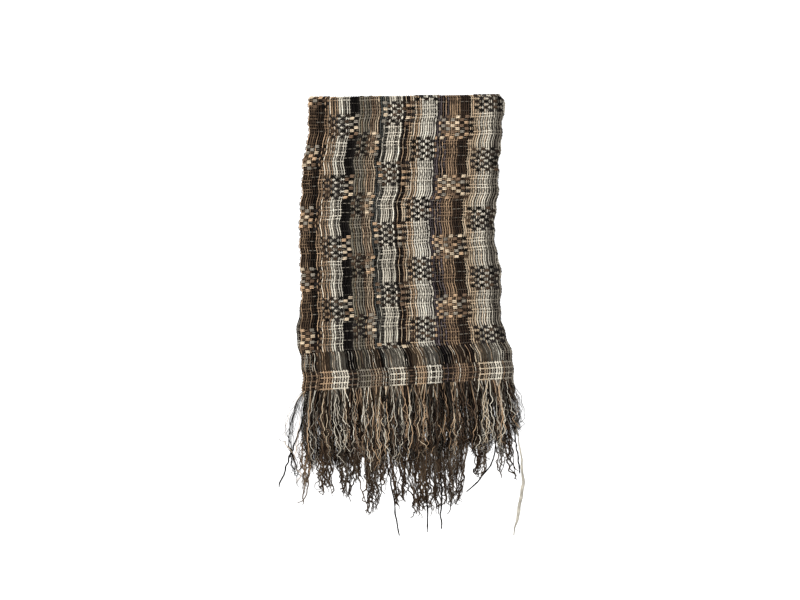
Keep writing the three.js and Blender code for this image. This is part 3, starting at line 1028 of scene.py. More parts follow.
@dataclass
class ScarfPart:
    """What every part of the scarf works with.

    seam is the gap that one stretch of cloth leaves to the next, and inset the share of the width
    that the grounds keep off the selvedges. Each drift is a size and a wave's length over two pi.
    """

    cloth: FoldedCloth
    plan: StripePlan
    effects: SharedEffects
    pieces: list[bpy.types.Object] = field(default_factory=list)
    seam: float = 0.2
    inset: float = 0.004
    slow_drift: tuple[float, float] = (2.3, 23.4)
    quick_drift: tuple[float, float] = (0.8, 11.5)
    lean: float = 5.0
    lean_ahead: float = 6.0
    usual_tone: float = 0.95
    tone_range: float = 0.28
    speckle_range: float = 0.25

    def keep(self, piece: bpy.types.Object, slot: str, node: str) -> bpy.types.Object:
        """Let a new piece ride on the scarf in place of the node of the frame that it stands for.

        Args:
            piece: The new piece.
            slot: Not used.
            node: The node of the frame that it replaces.

        Returns:
            The same piece.
        """
        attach(piece, "root")
        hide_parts(node)
        self.pieces.append(piece)
        triangles = sum(len(p.vertices) - 2 for p in piece.data.polygons)
        LOG.info("%s: %d triangles for %s", piece.name, triangles, node)
        return piece

    def wander(self, across: np.ndarray, along: np.ndarray) -> np.ndarray:
        """Drift the columns sideways by two slow sines, and lean them over on the bare threads.

        Args:
            across: Shares of the width.
            along: Distances along the cloth.

        Returns:
            Sideways shifts in millimetres, none at the selvedges.
        """
        size, wave = self.slow_drift
        drift = size * np.sin(along / wave + 1.6 * across)
        size, wave = self.quick_drift
        drift += size * np.sin(along / wave - 7.0 * across + 1.0)
        leant = ease(along, self.cloth.openwork_from - self.lean_ahead, self.cloth.border_from)
        inside = np.sin(np.pi * np.clip(across, 0, 1))
        return (drift + self.lean * leant) * inside

    def tints_along(
        self,
        rng: np.random.Generator,
        count: int,
        samples: int,
        waves: float,
        own: float,
    ) -> np.ndarray:
        """Blend each yarn from its first colour to its second one and back along its length.

        Args:
            rng: The source of the blends.
            count: How many yarns each column has.
            samples: How many places along a yarn.
            waves: How often the blend changes.
            own: The share of the yarns that follow the stripes.

        Returns:
            Colours as columns by yarns by samples by three.
        """
        first, other = self.plan.yarn_colours(rng, count, own)
        blend = waver(rng, COLUMNS, samples, waves)[:, None]
        each = waver(rng, COLUMNS * count, samples, waves * 3.5).reshape(COLUMNS, count, samples)
        share = ease(0.22 + 0.4 * blend + 0.45 * each, 0.0, 1.0)[..., None]
        mixed = first[:, :, None] * (1 - share) + other[:, :, None] * share
        speckle = 1.0 + self.speckle_range * rng.uniform(-1, 1, (COLUMNS, count, samples, 1))
        tone = self.usual_tone + self.tone_range * rng.uniform(-1, 1, (COLUMNS, count, 1, 1))
        return mixed * speckle * tone

    def ground_across(self) -> np.ndarray:
        """Give the places of a showing ground's columns of points, as one row."""
        return np.linspace(self.inset, 1.0 - self.inset, COLUMNS // 2 + 1)[None]

    def ground_wall(
        self,
        finish: GroundFinish,
        places: tuple[np.ndarray, np.ndarray],
        top: np.ndarray,
        under: np.ndarray,
        colour: np.ndarray,
        painted_top_shade: float = 1.0,
    ) -> bpy.types.Object:
        """Close a ground's two faces into a wall that is mapped by columns and rows.

        Args:
            finish: Its finish, which the piece is named after.
            places: Its places across and along the cloth.
            top: Its upper face.
            under: Its lower face.
            colour: Its colour, for all of it or for each place across.
            painted_top_shade: How much of its colour the upper face keeps, as painted shade.

        Returns:
            The new piece.
        """
        across, along = places
        tint = np.broadcast_to(colour, (*top.shape[:2], 3))
        maps = np.stack(np.broadcast_arrays(across * COLUMNS, along / self.plan.pitch), axis=-1)
        name = finish.name.replace(" ", "_")
        return make_wall(name, top, under, maps, tint, finish.material(self.effects), painted_top_shade)


@dataclass
class PatternedPanel(ScarfPart):
    """The striped stretch of the showing half, from under the fold down to the bare threads.

    wave is how far the yarns rise and dip where they cross, ladder_rise and ladder_dip how high the
    lengthwise and crosswise yarns lie in the ladder rows, and check_dip how low both lie under a
    check. painted_dip_shade is how much darker a yarn is painted at its lowest, as painted shade
    where it dips under others.
    """

    warp_lift: float = 0.15
    wave: float = 0.38
    ladder_rise: float = 0.3
    ladder_dip: float = -0.55
    check_dip: float = -0.3
    painted_dip_shade: float = 0.56
    yarn_half_width: float = 0.62
    yarn_half_height: float = 0.5
    pair_gap: float = 0.62
    warp_sway: float = 0.25
    warp_roll: float = 0.08
    warps_striped: float = 0.86
    weft_half_width: float = 1.05
    weft_half_height: float = 0.4
    contrast_every: int = 3
    contrast: float = 0.7
    ground_thickness: float = 0.6
    ground_lift: float = -0.85
    turned_to: float = 4.0
    level_from: float = 13.0
    check_bars: int = 3
    check_margin: float = 0.06
    check_tone: float = 0.85
    check_arch: tuple[float, ...] = (-0.35, 0.5, 0.75, 0.8, 0.75, 0.5, -0.35)
    bar_half_width: float = 0.92
    bar_half_height: float = 0.36
    dark_checks: tuple[Yarn, ...] = (Yarn.BLACK, Yarn.CHARCOAL, Yarn.BLACK_BROWN, Yarn.DARK_BROWN)
    pale_checks: tuple[Yarn, ...] = (Yarn.SAND, Yarn.TAN, Yarn.GREY, Yarn.WARM_BROWN)

    def rows(self) -> int:
        """How many crosswise yarns the panel has, with those that are turned under."""
        return int((self.cloth.openwork_from - self.cloth.start) // self.plan.pitch)

    def row_places(self) -> np.ndarray:
        """Where the crosswise yarns lie along the cloth."""
        return self.cloth.openwork_from - (np.arange(self.rows())[::-1] + 0.5) * self.plan.pitch

    def lifts(self, side: float, ladder: float) -> np.ndarray:
        """Find how high one set of yarns lies at each column and row.

        Args:
            side: 1 for the lengthwise yarns, and -1 for the crosswise ones, which go the other way.
            ladder: Their height in the ladder rows.

        Returns:
            Heights as columns by rows.
        """
        kind, _ = self.plan.weave(self.rows())
        woven = side * self.wave * self.plan.crossings(self.rows())
        places = [kind == Weave.LATTICE.value, kind == Weave.LADDER.value]
        return np.select(places, [woven, ladder], self.check_dip)

    def add_painted_dip_shade(self, tint: np.ndarray, level: np.ndarray) -> np.ndarray:
        """Paint shade on yarns: darken them the more, the lower they dip under others, by an ease.

        Args:
            tint: Colours, with red, green and blue last.
            level: The yarns' heights there.

        Returns:
            The colours with the painted shade.
        """
        dip = 1.0 - ease(level, -self.wave, self.wave)
        return tint * (1.0 - self.painted_dip_shade * dip)[..., None]

    def ground(self) -> bpy.types.Object:
        """Build the thin ground, a grid wrapped over the fold in two layers, dark as painted shade."""
        turned = np.linspace(self.cloth.start, self.turned_to, 16)
        level = np.linspace(self.level_from, self.cloth.openwork_from - self.seam, 58)
        along = np.concatenate([turned, level])[:, None]
        across = self.ground_across()
        half = self.ground_thickness / 2
        shift = self.wander(across, along)
        top = self.cloth.showing(across, along, self.ground_lift + half, shift)
        under = self.cloth.showing(across, along, self.ground_lift - half, shift)
        main, _ = self.plan.colours()
        # Painted shade: the ground is near black, as the shade in the gaps between the yarns.
        colour = main[column_at(across[0])] * 0.06 + Yarn.BLACK.linear * 0.3
        return self.ground_wall(GroundFinish("panel ground"), (across, along), top, under, colour)

    def warps(self) -> bpy.types.Object:
        """Build the lengthwise yarns, two to a column, over and under the crosswise ones.

        A yarn has a sample at each row and one halfway to the next, at the mean of their heights.

        Returns:
            The yarns as one piece.
        """
        rng = np.random.default_rng(11)
        lift = self.lifts(1.0, self.ladder_rise)
        places = self.row_places()
        samples = 2 * places.size + 1
        along = np.empty(samples)
        along[1::2] = places
        along[2:-1:2] = (places[1:] + places[:-1]) / 2
        along[0] = places[0] - self.plan.pitch / 2
        along[-1] = self.cloth.openwork_from - self.seam
        height = np.empty((COLUMNS, samples))
        height[:, 1::2] = lift
        height[:, 2:-1:2] = (lift[:, 1:] + lift[:, :-1]) / 2
        height[:, 0] = lift[:, 0]
        height[:, -1] = lift[:, -1]
        pair = np.array([-1.0, 1.0])[None, :, None]
        own = waver(rng, COLUMNS * 2, samples, 40.0).reshape(COLUMNS, 2, samples)
        column = (np.arange(COLUMNS)[:, None, None] + 0.5) / COLUMNS
        across = np.broadcast_to(column, (COLUMNS, 2, samples))
        shift = self.wander(across, along) + pair * self.pair_gap + self.warp_sway * own
        level = self.warp_lift + height[:, None] + self.warp_roll * pair * own
        lines = self.cloth.showing(across, along, level, shift).reshape(-1, samples, 3)
        tint = self.tints_along(rng, 2, samples, 9.0, self.warps_striped)
        # Painted shade: each yarn is darkened where it dips under the crosswise yarns.
        tint = self.add_painted_dip_shade(tint, height[:, None]).reshape(-1, samples, 3)
        bundle = Bundle("panel_warps")
        bundle.add(lines, tint, self.yarn_half_width, self.yarn_half_height)
        return bundle.build(YarnFinish("panel warp yarn").material(self.effects))

    def weft(self) -> bpy.types.Object:
        """Build the crosswise yarn, which runs to and fro and turns back round each selvedge.

        Every few rows it takes a colour against the stripe's. Its tone varies by row and slowly
        along it.

        Returns:
            The yarn as one piece.
        """
        rng = np.random.default_rng(17)
        places = self.row_places()
        rows = places.size
        across = self.plan.crosswise()
        nearest = column_at(across)
        level = soften(self.lifts(-1.0, self.ladder_dip)[nearest].T)
        main, second = self.plan.colours()
        colour = (main * 0.7 + second * 0.3)[nearest]
        pale = colour.mean(axis=1, keepdims=True) > PALE_FROM
        against = np.where(pale, Yarn.CHARCOAL.linear, Yarn.GREY.linear)
        tint = np.broadcast_to(colour, (rows, across.size, 3)).copy()
        changed = tint[:: self.contrast_every]
        tint[:: self.contrast_every] = (1.0 - self.contrast) * changed + self.contrast * against
        row_tone = 0.25 * rng.uniform(-1, 1, (rows, 1, 1))
        slow_tone = 0.3 * waver(rng, rows, across.size, 9.0)[..., None]
        # Painted shade: the crosswise yarn is darkened where it dips under the lengthwise yarns.
        tint = self.add_painted_dip_shade(tint * (0.9 + row_tone + slow_tone), level)
        run = np.broadcast_to(across, (rows, across.size)).copy()
        along = places[:, None] + 0.5 * np.sin(across * 40 + places[:, None])
        back = np.arange(rows) % 2 == 1
        for grid in (run, level, tint, along):
            grid[back] = grid[back, ::-1]
        points = self.cloth.showing(run, along, level, self.wander(run, along)).reshape(1, -1, 3)
        sizes = (self.weft_half_width, self.weft_half_height)
        bundle = Bundle("panel_weft")
        bundle.add(points, tint.reshape(1, -1, 3), *sizes, side=DOWN_THE_CLOTH)
        return bundle.build(YarnFinish("panel weft yarn", ply_pitch=1.8).material(self.effects))

    def checks(self) -> bpy.types.Object:
        """Build the small solid checks, each a few flat bars arched over its columns in one row.

        A check is dark on pale stripes and pale on dark ones.

        Returns:
            All the bars as one piece.
        """
        rng = np.random.default_rng(23)
        _, number = self.plan.weave(self.rows())
        main, _ = self.plan.colours()
        light = main.mean(axis=1)
        places = self.row_places()
        starts, ends, heights, colours = [], [], [], []
        for check in np.unique(number[number >= 0]):
            columns, rows = np.nonzero(number == check)
            first, last = columns.min(), columns.max()
            pale_under = light[first : last + 1].mean() > PALE_FROM
            options = self.dark_checks if pale_under else self.pale_checks
            chosen = options[rng.integers(len(options))].linear * self.check_tone
            for bar in range(self.check_bars):
                starts.append((first + self.check_margin) / COLUMNS)
                ends.append((last + 1 - self.check_margin) / COLUMNS)
                heights.append(places[rows[0]] + self.plan.pitch * ((bar + 0.5) / self.check_bars - 0.5))
                colours.append(chosen * (1.0 + 0.35 * rng.uniform(-1, 1)))
        arch = np.array(self.check_arch)[None]
        share = np.linspace(0, 1, arch.size)[None]
        start, end = np.array(starts)[:, None], np.array(ends)[:, None]
        across = start + (end - start) * share
        along = np.array(heights)[:, None] + 0.15 * rng.uniform(-1, 1, across.shape)
        level = np.broadcast_to(arch, across.shape)
        points = self.cloth.showing(across, along, level, self.wander(across, along))
        tint = np.array(colours)[:, None] * (1.0 + 0.3 * rng.uniform(-1, 1, (*across.shape, 1)))
        sizes = (self.bar_half_width, self.bar_half_height)
        bundle = Bundle("panel_checks")
        bundle.add(points, tint, *sizes, side=DOWN_THE_CLOTH, sides=4)
        return bundle.build(YarnFinish("check yarn", ply_pitch=3.0).material(self.effects))

    def build(self) -> bpy.types.Object:
        """Build the panel's ground and its yarns, and return the ground."""
        ground = self.keep(self.ground(), "patterned_cloth", "showing_panel")
        for piece in (self.warps(), self.weft(), self.checks()):
            self.keep(piece, "patterned_cloth", "showing_panel")
        return ground


@dataclass
class BareThreads(ScarfPart):
    """The band below the pattern where only the lengthwise yarns run on.

    Half of its yarns, the dark share, keep only dark_tone of their colour.
    """

    per_column: int = 4
    samples: int = 14
    striped: float = 0.42
    dark_share: float = 0.5
    dark_tone: float = 0.12
    light_tone: float = 1.1
    half_width: float = 0.44
    half_height: float = 0.4

    def build(self) -> bpy.types.Object:
        """Build the bare yarns: each column's draw together halfway, and each wavers slowly.

        Returns:
            The yarns as one piece.
        """
        rng = np.random.default_rng(31)
        start, end = self.cloth.openwork_from + self.seam, self.cloth.border_from - self.seam
        along = np.linspace(start, end, self.samples)
        count = COLUMNS * self.per_column
        column = np.repeat(np.arange(COLUMNS), self.per_column)[:, None]
        own = np.tile(np.linspace(-1, 1, self.per_column), COLUMNS)[:, None]
        free = np.sin(np.pi * np.linspace(0, 1, self.samples))[None]
        together = np.repeat(waver(rng, COLUMNS, self.samples, 3.0), self.per_column, axis=0)
        sway = 1.1 * together + 0.8 * waver(rng, count, self.samples, 4.0)
        spread = own * (1.0 - 0.5 * free) + free * sway
        across = np.broadcast_to((column + 0.5) / COLUMNS, spread.shape)
        level = 0.1 + 0.45 * waver(rng, count, self.samples, 3.0)
        lines = self.cloth.showing(across, along, level, self.wander(across, along) + spread)
        tint = self.tints_along(rng, self.per_column, self.samples, 1.5, self.striped)
        dark = rng.random((count, 1, 1)) < self.dark_share
        tint = tint.reshape(count, self.samples, 3) * np.where(dark, self.dark_tone, self.light_tone)
        bundle = Bundle("openwork_threads")
        bundle.add(lines, tint, self.half_width, self.half_height)
        piece = bundle.build(YarnFinish("bare thread", ply_pitch=2.0).material(self.effects))
        return self.keep(piece, "bare_threads", "showing_openwork")


@dataclass
class LatticeBorder(ScarfPart):
    """The woven border above the hem: an open lattice of yarns on a ground that is dark as painted shade.
    """

    picks: int = 7
    ground_top: float = -0.6
    ground_under: float = -1.15
    middle: float = 0.12
    wave: float = 0.36
    pair_gap: float = 0.62
    pick_gap: float = 0.65
    striped: float = 0.7
    contrast: float = 0.8
    warp_sizes: tuple[float, float] = (0.6, 0.48)
    pick_sizes: tuple[float, float] = (0.55, 0.4)

    def ground(self) -> bpy.types.Object:
        """Build the border's thin ground, dark as painted shade behind the lattice."""
        start, end = self.cloth.border_from + self.seam, self.cloth.hem - self.seam
        along = np.linspace(start, end, 8)[:, None]
        across = self.ground_across()
        shift = self.wander(across, along)
        top = self.cloth.showing(across, along, self.ground_top, shift)
        under = self.cloth.showing(across, along, self.ground_under, shift)
        # Painted shade: the ground is a dark brown for the shade in the lattice's openings.
        colour = Yarn.BLACK_BROWN.linear * 0.7
        return self.ground_wall(GroundFinish("border ground"), (across, along), top, under, colour)

    def add_warps(self, bundle: Bundle, along: np.ndarray) -> None:
        """Add the lengthwise pairs, which rise and dip by a sine once for each two picks.

        Args:
            bundle: The lattice's mesh.
            along: The places of their samples.
        """
        rng = np.random.default_rng(37)
        phase = np.pi * (along - along[0]) / (along[-1] - along[0]) * self.picks
        column = np.repeat(np.arange(COLUMNS), 2)[:, None]
        pair = np.tile([-1.0, 1.0], COLUMNS)[:, None]
        across = np.broadcast_to((column + 0.5) / COLUMNS, (2 * COLUMNS, along.size))
        level = self.middle + self.wave * np.sin(phase)[None] * np.where(column % 2 == 0, 1.0, -1.0)
        shift = self.wander(across, along) + self.pair_gap * pair
        tint = self.tints_along(rng, 2, along.size, 1.5, self.striped).reshape(-1, along.size, 3)
        bundle.add(self.cloth.showing(across, along, level, shift), tint, *self.warp_sizes)

    def add_picks(self, bundle: Bundle, along: np.ndarray) -> None:
        """Add the crosswise pairs, every other one of a colour against the stripe's.

        Args:
            bundle: The lattice's mesh.
            along: The places of the lengthwise yarns' samples.
        """
        run = self.plan.crosswise()
        nearest = column_at(run)
        places = along[0] + (np.arange(self.picks) + 0.5) / self.picks * (along[-1] - along[0])
        main, _ = self.plan.colours()
        pale = main[nearest].mean(axis=1, keepdims=True) > PALE_FROM
        against = np.where(pale, Yarn.BLACK_BROWN.linear, Yarn.WARM_BROWN.linear)
        colour = main[nearest] * 0.9 + Yarn.SAND.linear * 0.04
        odd = (np.arange(self.picks) % 2 == 1)[:, None, None]
        tint = np.where(odd, against * self.contrast + colour * (1.0 - self.contrast), colour)
        level = soften(self.middle - self.wave * self.plan.crossings(self.picks)[nearest].T)
        across = np.broadcast_to(run, level.shape)
        for side in (-1.0, 1.0):
            down = np.broadcast_to(places[:, None] + side * self.pick_gap, level.shape)
            points = self.cloth.showing(across, down, level, self.wander(across, down))
            bundle.add(points, tint, *self.pick_sizes, side=DOWN_THE_CLOTH)

    def lattice(self) -> bpy.types.Object:
        """Build the border's lengthwise pairs and its crosswise pairs, woven over and under."""
        along = np.linspace(self.cloth.border_from, self.cloth.hem - self.seam / 2, 4 * self.picks + 1)
        bundle = Bundle("border_lattice")
        self.add_warps(bundle, along)
        self.add_picks(bundle, along)
        return bundle.build(YarnFinish("border yarn").material(self.effects))

    def build(self) -> bpy.types.Object:
        """Build the border's ground and lattice, and return the ground."""
        ground = self.keep(self.ground(), "border_cloth", "showing_border")
        self.keep(self.lattice(), "border_cloth", "showing_border")
        return ground


@dataclass
class HiddenHalf(ScarfPart):
    """The half below, of which only the selvedges and the underside can be seen.

    A selvedge loop leaves the outer columns, turns outwards and comes back: loop_shares are its
    shares of the width from the selvedge, and loop_lags its places in crosswise yarns' pitches.
    painted_top_shade is how much of its colour the upper face keeps, as painted shade under the
    showing half.
    """

    edge_columns: int = 4
    thickness: float = 1.1
    edge_height: float = 1.6
    loop_height: float = 1.55
    pair_share: float = 0.13
    painted_top_shade: float = 0.3
    loop_shares: tuple[float, ...] = (0.05, 0.03, 0.012, 0.002, 0.0, 0.0, 0.002, 0.012, 0.03, 0.05)
    loop_lags: tuple[float, ...] = (-0.3, -0.3, -0.32, -0.28, -0.1, 0.1, 0.28, 0.32, 0.3, 0.3)
    edge_yarns: tuple[Yarn, ...] = (Yarn.CHARCOAL, Yarn.SILVER, Yarn.GREY, Yarn.BLACK_BROWN)

    def ground(self) -> bpy.types.Object:
        """Build the hidden half as one thin sheet, flat underneath."""
        end = self.cloth.hidden_hem - 0.75 * self.seam
        down = np.linspace(self.cloth.hidden_start, end, 66)[:, None]
        across = np.linspace(0.0, 1.0, COLUMNS + 1)[None]
        top = self.cloth.hidden(across, down, self.thickness)
        under = self.cloth.hidden(across, down, 0.0)
        main, _ = self.plan.colours()
        colour = main[column_at(across[0])] * 0.55 + 0.004
        finish = GroundFinish("hidden cloth", shade=0.7)
        # Painted shade: the upper face, which lies under the showing half, is darkened.
        return self.ground_wall(finish, (across, down), top, under, colour, self.painted_top_shade)

    def edges(self) -> bpy.types.Object:
        """Build the outer columns and the crosswise yarn's loops that peep out at the selvedges.

        Returns:
            Both selvedges as one piece.
        """
        rng = np.random.default_rng(41)
        bundle = Bundle("hidden_selvedges")
        rows = int((self.cloth.hidden_hem - self.cloth.hidden_start) // self.plan.pitch)
        places = self.cloth.hidden_start + (np.arange(rows) + 0.5) * self.plan.pitch
        down = np.linspace(self.cloth.hidden_start, self.cloth.hidden_hem - self.seam, 2 * rows + 1)
        options = np.array([yarn.linear for yarn in self.edge_yarns])
        column = np.repeat(np.arange(self.edge_columns), 2)[:, None]
        pair = np.tile([-1.0, 1.0], self.edge_columns)[:, None]
        share = (column + 0.5 + self.pair_share * pair) / COLUMNS
        loop = np.array(self.loop_shares)
        loop_down = places[:, None] + np.array(self.loop_lags) * self.plan.pitch
        for left in (True, False):
            across = np.broadcast_to(share if left else 1.0 - share, (column.size, down.size))
            level = self.edge_height + 0.2 * waver(rng, column.size, down.size, 60.0)
            drawn = options[rng.integers(0, len(options), column.size)][:, None]
            tint = np.broadcast_to(drawn, (*across.shape, 3))
            bundle.add(self.cloth.hidden(across, down, level), tint, 0.6, 0.45)
            loop_across = np.broadcast_to(loop if left else 1.0 - loop, loop_down.shape)
            drawn = options[rng.integers(0, len(options), rows)][:, None]
            tint = np.broadcast_to(drawn, (*loop_across.shape, 3))
            points = self.cloth.hidden(loop_across, loop_down, self.loop_height)
            bundle.add(points, tint, 0.5, 0.75, side=UPWARDS)
        return bundle.build(YarnFinish("selvedge yarn").material(self.effects))

    def build(self) -> bpy.types.Object:
        """Build the hidden half and return its sheet."""
        ground = self.keep(self.ground(), "hidden_cloth", "hidden_panel")
        self.keep(self.edges(), "hidden_cloth", "hidden_panel")
        return ground


@dataclass(frozen=True)
class Lock:
    """A lock of a fringe: where its roots start and stop and its tips meet, and its length.

    reach is how far below the fold the tips are, spread how wide they lie, and bow how far the lock
    swings to the right on its way. The lock leaves its root's line by its length share to the power
    lag.
    """

    start: float
    stop: float
    tip: float
    reach: float
    spread: float
    bow: float
    strands: int
    colour: Yarn | None = None
    lag: float = 1.7


SHOWING_LOCKS = (
    Lock(-206, -199, -218, 832, 22, -16, 2, None, 0.5),
    Lock(-197, -170, -181, 786, 15, -10, 8),
    Lock(-170, -136, -144, 792, 21, -4, 10),
    Lock(-136, -104, -112, 779, 20, 1, 9),
    Lock(-104, -70, -82, 768, 23, 3, 10),
    Lock(-70, -34, -50, 783, 24, 2, 10),
    Lock(-34, 4, -11, 770, 26, 3, 11),
    Lock(4, 42, 25, 775, 26, 4, 11),
    Lock(42, 80, 63, 764, 25, 3, 11),
    Lock(80, 116, 100, 760, 24, 4, 10),
    Lock(116, 150, 136, 746, 24, 5, 10),
    Lock(150, 184, 169, 756, 21, 6, 9),
    Lock(184, 212, 203, 741, 19, 9, 8),
    Lock(212, 229, 240, 716, 13, 8, 6),
)

HIDDEN_LOCKS = (
    Lock(-202.5, -202, -258, 820, 0, -6, 1, Yarn.BLACK, 1.3),
    Lock(-198, -176, -207, 856, 17, -5, 4, Yarn.TAN),
    Lock(-176, -142, -160, 848, 26, -2, 9),
    Lock(-142, -86, -109, 846, 36, 3, 13),
    Lock(-86, -40, -54, 884, 36, 3, 12),
    Lock(-37, -36, -3, 922, 0, 1, 1, Yarn.BLACK),
    Lock(-33, 0, 0, 874, 22, 3, 7),
    Lock(0, 34, 38, 894, 22, 5, 9),
    Lock(36.5, 37, 56, 915, 0, 5, 1, Yarn.BLACK),
    Lock(40, 74, 66, 890, 20, 3, 9),
    Lock(76.5, 77, 82, 908, 0, 3, 1, Yarn.BLACK),
    Lock(80, 106, 97, 878, 15, 3, 6),
    Lock(106, 134, 115, 880, 13, 5, 5),
    Lock(138, 178, 167, 820, 16, 5, 8),
    Lock(168, 169, 138, 830, 0, 34, 1, Yarn.BLACK, 3.0),
    Lock(178, 206, 206, 808, 16, 5, 3),
    Lock(206, 222, 234, 806, 12, 6, 2),
    Lock(222, 223, 245, 792, 0, 8, 1, Yarn.BLACK),
    Lock(226, 227, 237, 921, 0, 24, 1, Yarn.SILVER),
)


@dataclass(frozen=True)
class Family:
    """One kind of yarn in a fringe.

    per_strand is how many there are for each strand of a lock, reach the shares of the lock's length
    that they run to, gather how far their tips draw together, curl the size of their curls, which
    start at curl_from, and bow how far they swing sideways. layer is how far they lie above the
    fringe's middle, own_colour the share of them that take their stripe's colour, and tone their
    brightness, which for a family that lies low is partly dark yarn and partly painted shade under
    the yarns above. Sizes are millimetres.
    """

    per_strand: float
    samples: int
    reach: tuple[float, float]
    gather: float
    curl: float
    curl_from: float
    bow: float
    layer: tuple[float, float]
    own_colour: float
    half_width: tuple[float, float]
    tone: float


@dataclass
class Draw:
    """The yarns of one family that were drawn for one fringe, one entry to a yarn."""

    root: np.ndarray
    tip: np.ndarray
    reach: np.ndarray
    bow: np.ndarray
    lock: np.ndarray
    clump: np.ndarray


@dataclass
class Fringe(ScarfPart):
    """A fringe: single crimped yarns that run on from the hem and clump towards their tips.

    The yarns begin root_lap above the hem. heights is how far they lie above the floor at each share
    of their length, umber how far they are dyed towards a dark brown, and scatter how far their tips
    stray. A yarn bows sideways by most_bow at most.
    """

    name: str = "fringe_yarns"
    node: str = "showing_fringe"
    slot: str = "fringe_yarn"
    locks: tuple[Lock, ...] = SHOWING_LOCKS
    families: tuple[Family, ...] = (
        # The lower family's low tone is partly dark yarn and partly painted shade under the upper family.
        Family(3.6, 36, (0.72, 1.02), 0.12, 2.0, 0.5, 6.0, (-0.9, 0.4), 0.12, (0.5, 0.85), 0.1),
        Family(1.9, 60, (0.62, 1.08), 0.4, 4.4, 0.1, 10.0, (0.2, 1.7), 0.2, (0.42, 0.74), 1.12),
    )
    hem: float = 620.5
    peep: float = 0.0
    seed: int = 5
    heights: Curve = Curve((0.0, 0.2, 0.4, 0.65, 1.0), (3.9, 3.4, 3.0, 2.5, 1.7))
    umber: float = 0.0
    scatter: float = 2.2
    most_bow: float = 16.0
    root_lap: float = 1.5
    clearance: float = 0.05
    clump_strands: int = 3
    clump_stray: float = 0.3
    clump_spread: float = 1.1
    gather_range: float = 0.25
    reach_alike: float = 0.55
    lock_sway: float = 1.6
    tip_drift: float = 6.5
    crimp: float = 2.4
    fine_crimp: float = 1.3
    curl_period: tuple[float, float] = (15.0, 30.0)
    own_tone: float = 0.75
    lock_tone: float = 0.6
    tip_shade: float = 0.35
    tip_taper: float = 0.35
    flatness: float = 0.85
    most_tall: float = 0.75

    def draw(self, rng: np.random.Generator, family: Family) -> Draw:
        """Draw where a family's yarns start, how far they reach and where their tips gather.

        Args:
            rng: The source of the draws.
            family: The kind of yarn.

        Returns:
            The drawn yarns of all the locks.
        """
        parts: list[np.ndarray] = []
        clumps_before = 0
        for number, lock in enumerate(self.locks):
            if lock.strands == 1:
                continue
            count = int(round(lock.strands * family.per_strand))
            share = (np.arange(count) + rng.random(count)) / count
            clumps = max(2, lock.strands // self.clump_strands)
            clump = np.minimum((share * clumps).astype(int), clumps - 1)
            centre = (clump + 0.5 + self.clump_stray * rng.uniform(-1, 1, clumps)[clump]) / clumps
            root = lock.start + (lock.stop - lock.start) * share
            parallel = root + lock.tip - (lock.start + lock.stop) / 2
            gathered = lock.tip + lock.spread * self.clump_spread * (centre - 0.5)
            gather = np.clip(family.gather + self.gather_range * rng.uniform(-1, 1, count), 0, 1)
            tip = parallel + (gathered - parallel) * gather + rng.normal(0, self.scatter, count)
            low, high = family.reach
            alike = self.reach_alike
            part = alike * rng.random(clumps)[clump] + (1.0 - alike) * rng.random(count)
            reach = self.hem + (lock.reach - self.hem) * (low + (high - low) * part)
            bow = lock.bow + np.clip(rng.normal(0, family.bow, count), -self.most_bow, self.most_bow)
            parts.append(np.stack([root, tip, reach, bow, np.full(count, number), clump + clumps_before]))
            clumps_before += clumps
        root, tip, reach, bow, number, clump = np.concatenate(parts, axis=1)
        return Draw(root, tip, reach, bow, number.astype(int), clump.astype(int))

    def wavers(self, rng: np.random.Generator, drawn: Draw, t: np.ndarray) -> np.ndarray:
        """Waver the yarns sideways: each lock as one, and each yarn at three finer scales.

        Args:
            rng: The source of the wavers.
            drawn: Where the yarns run.
            t: The length shares of their samples.

        Returns:
            Sideways shifts in millimetres, none at the roots.
        """
        count, samples = drawn.root.size, t.size
        shift = self.lock_sway * waver(rng, len(self.locks), samples, 3.0)[drawn.lock]
        shift = shift + self.tip_drift * t * waver(rng, count, samples, 5.0)
        shift = shift + self.crimp * waver(rng, count, samples, 15.0)
        shift = shift + self.fine_crimp * waver(rng, count, samples, 30.0)
        return ease(t, 0.02, 0.3) * shift

    def curls(
        self,
        rng: np.random.Generator,
        family: Family,
        drawn: Draw,
        t: np.ndarray,
        length: np.ndarray,
    ) -> tuple[np.ndarray, np.ndarray]:
        """Move the yarns round circles that grow towards their tips, and tangle them there.

        The yarns of a clump curl at about one pace, each with a size of its own.

        Args:
            rng: The source of the curls.
            family: The kind of yarn.
            drawn: Where the yarns run.
            t: The length shares of their samples.
            length: How far down each yarn runs.

        Returns:
            Shifts to the right and up the cloth in millimetres.
        """
        count, samples = drawn.root.size, t.size
        clumps = int(drawn.clump.max()) + 1
        period = rng.uniform(*self.curl_period, clumps)[drawn.clump] * rng.uniform(0.85, 1.2, count)
        phase = (rng.uniform(0, 6.3, clumps)[drawn.clump] + rng.normal(0, 0.9, count))[:, None]
        size = (family.curl * np.abs(rng.normal(0.35, 0.75, count)))[:, None]
        turn = 2 * np.pi * length * t / period[:, None] + phase
        curl = size * ease(t, family.curl_from, 1.0)
        tangle_x, tangle_y = waver(rng, count, samples, 13.0), waver(rng, count, samples, 13.0)
        right = curl * (0.45 * np.sin(turn) + 1.4 * tangle_x)
        return right, curl * (0.4 * (np.cos(turn) - np.cos(phase)) + 1.2 * tangle_y)

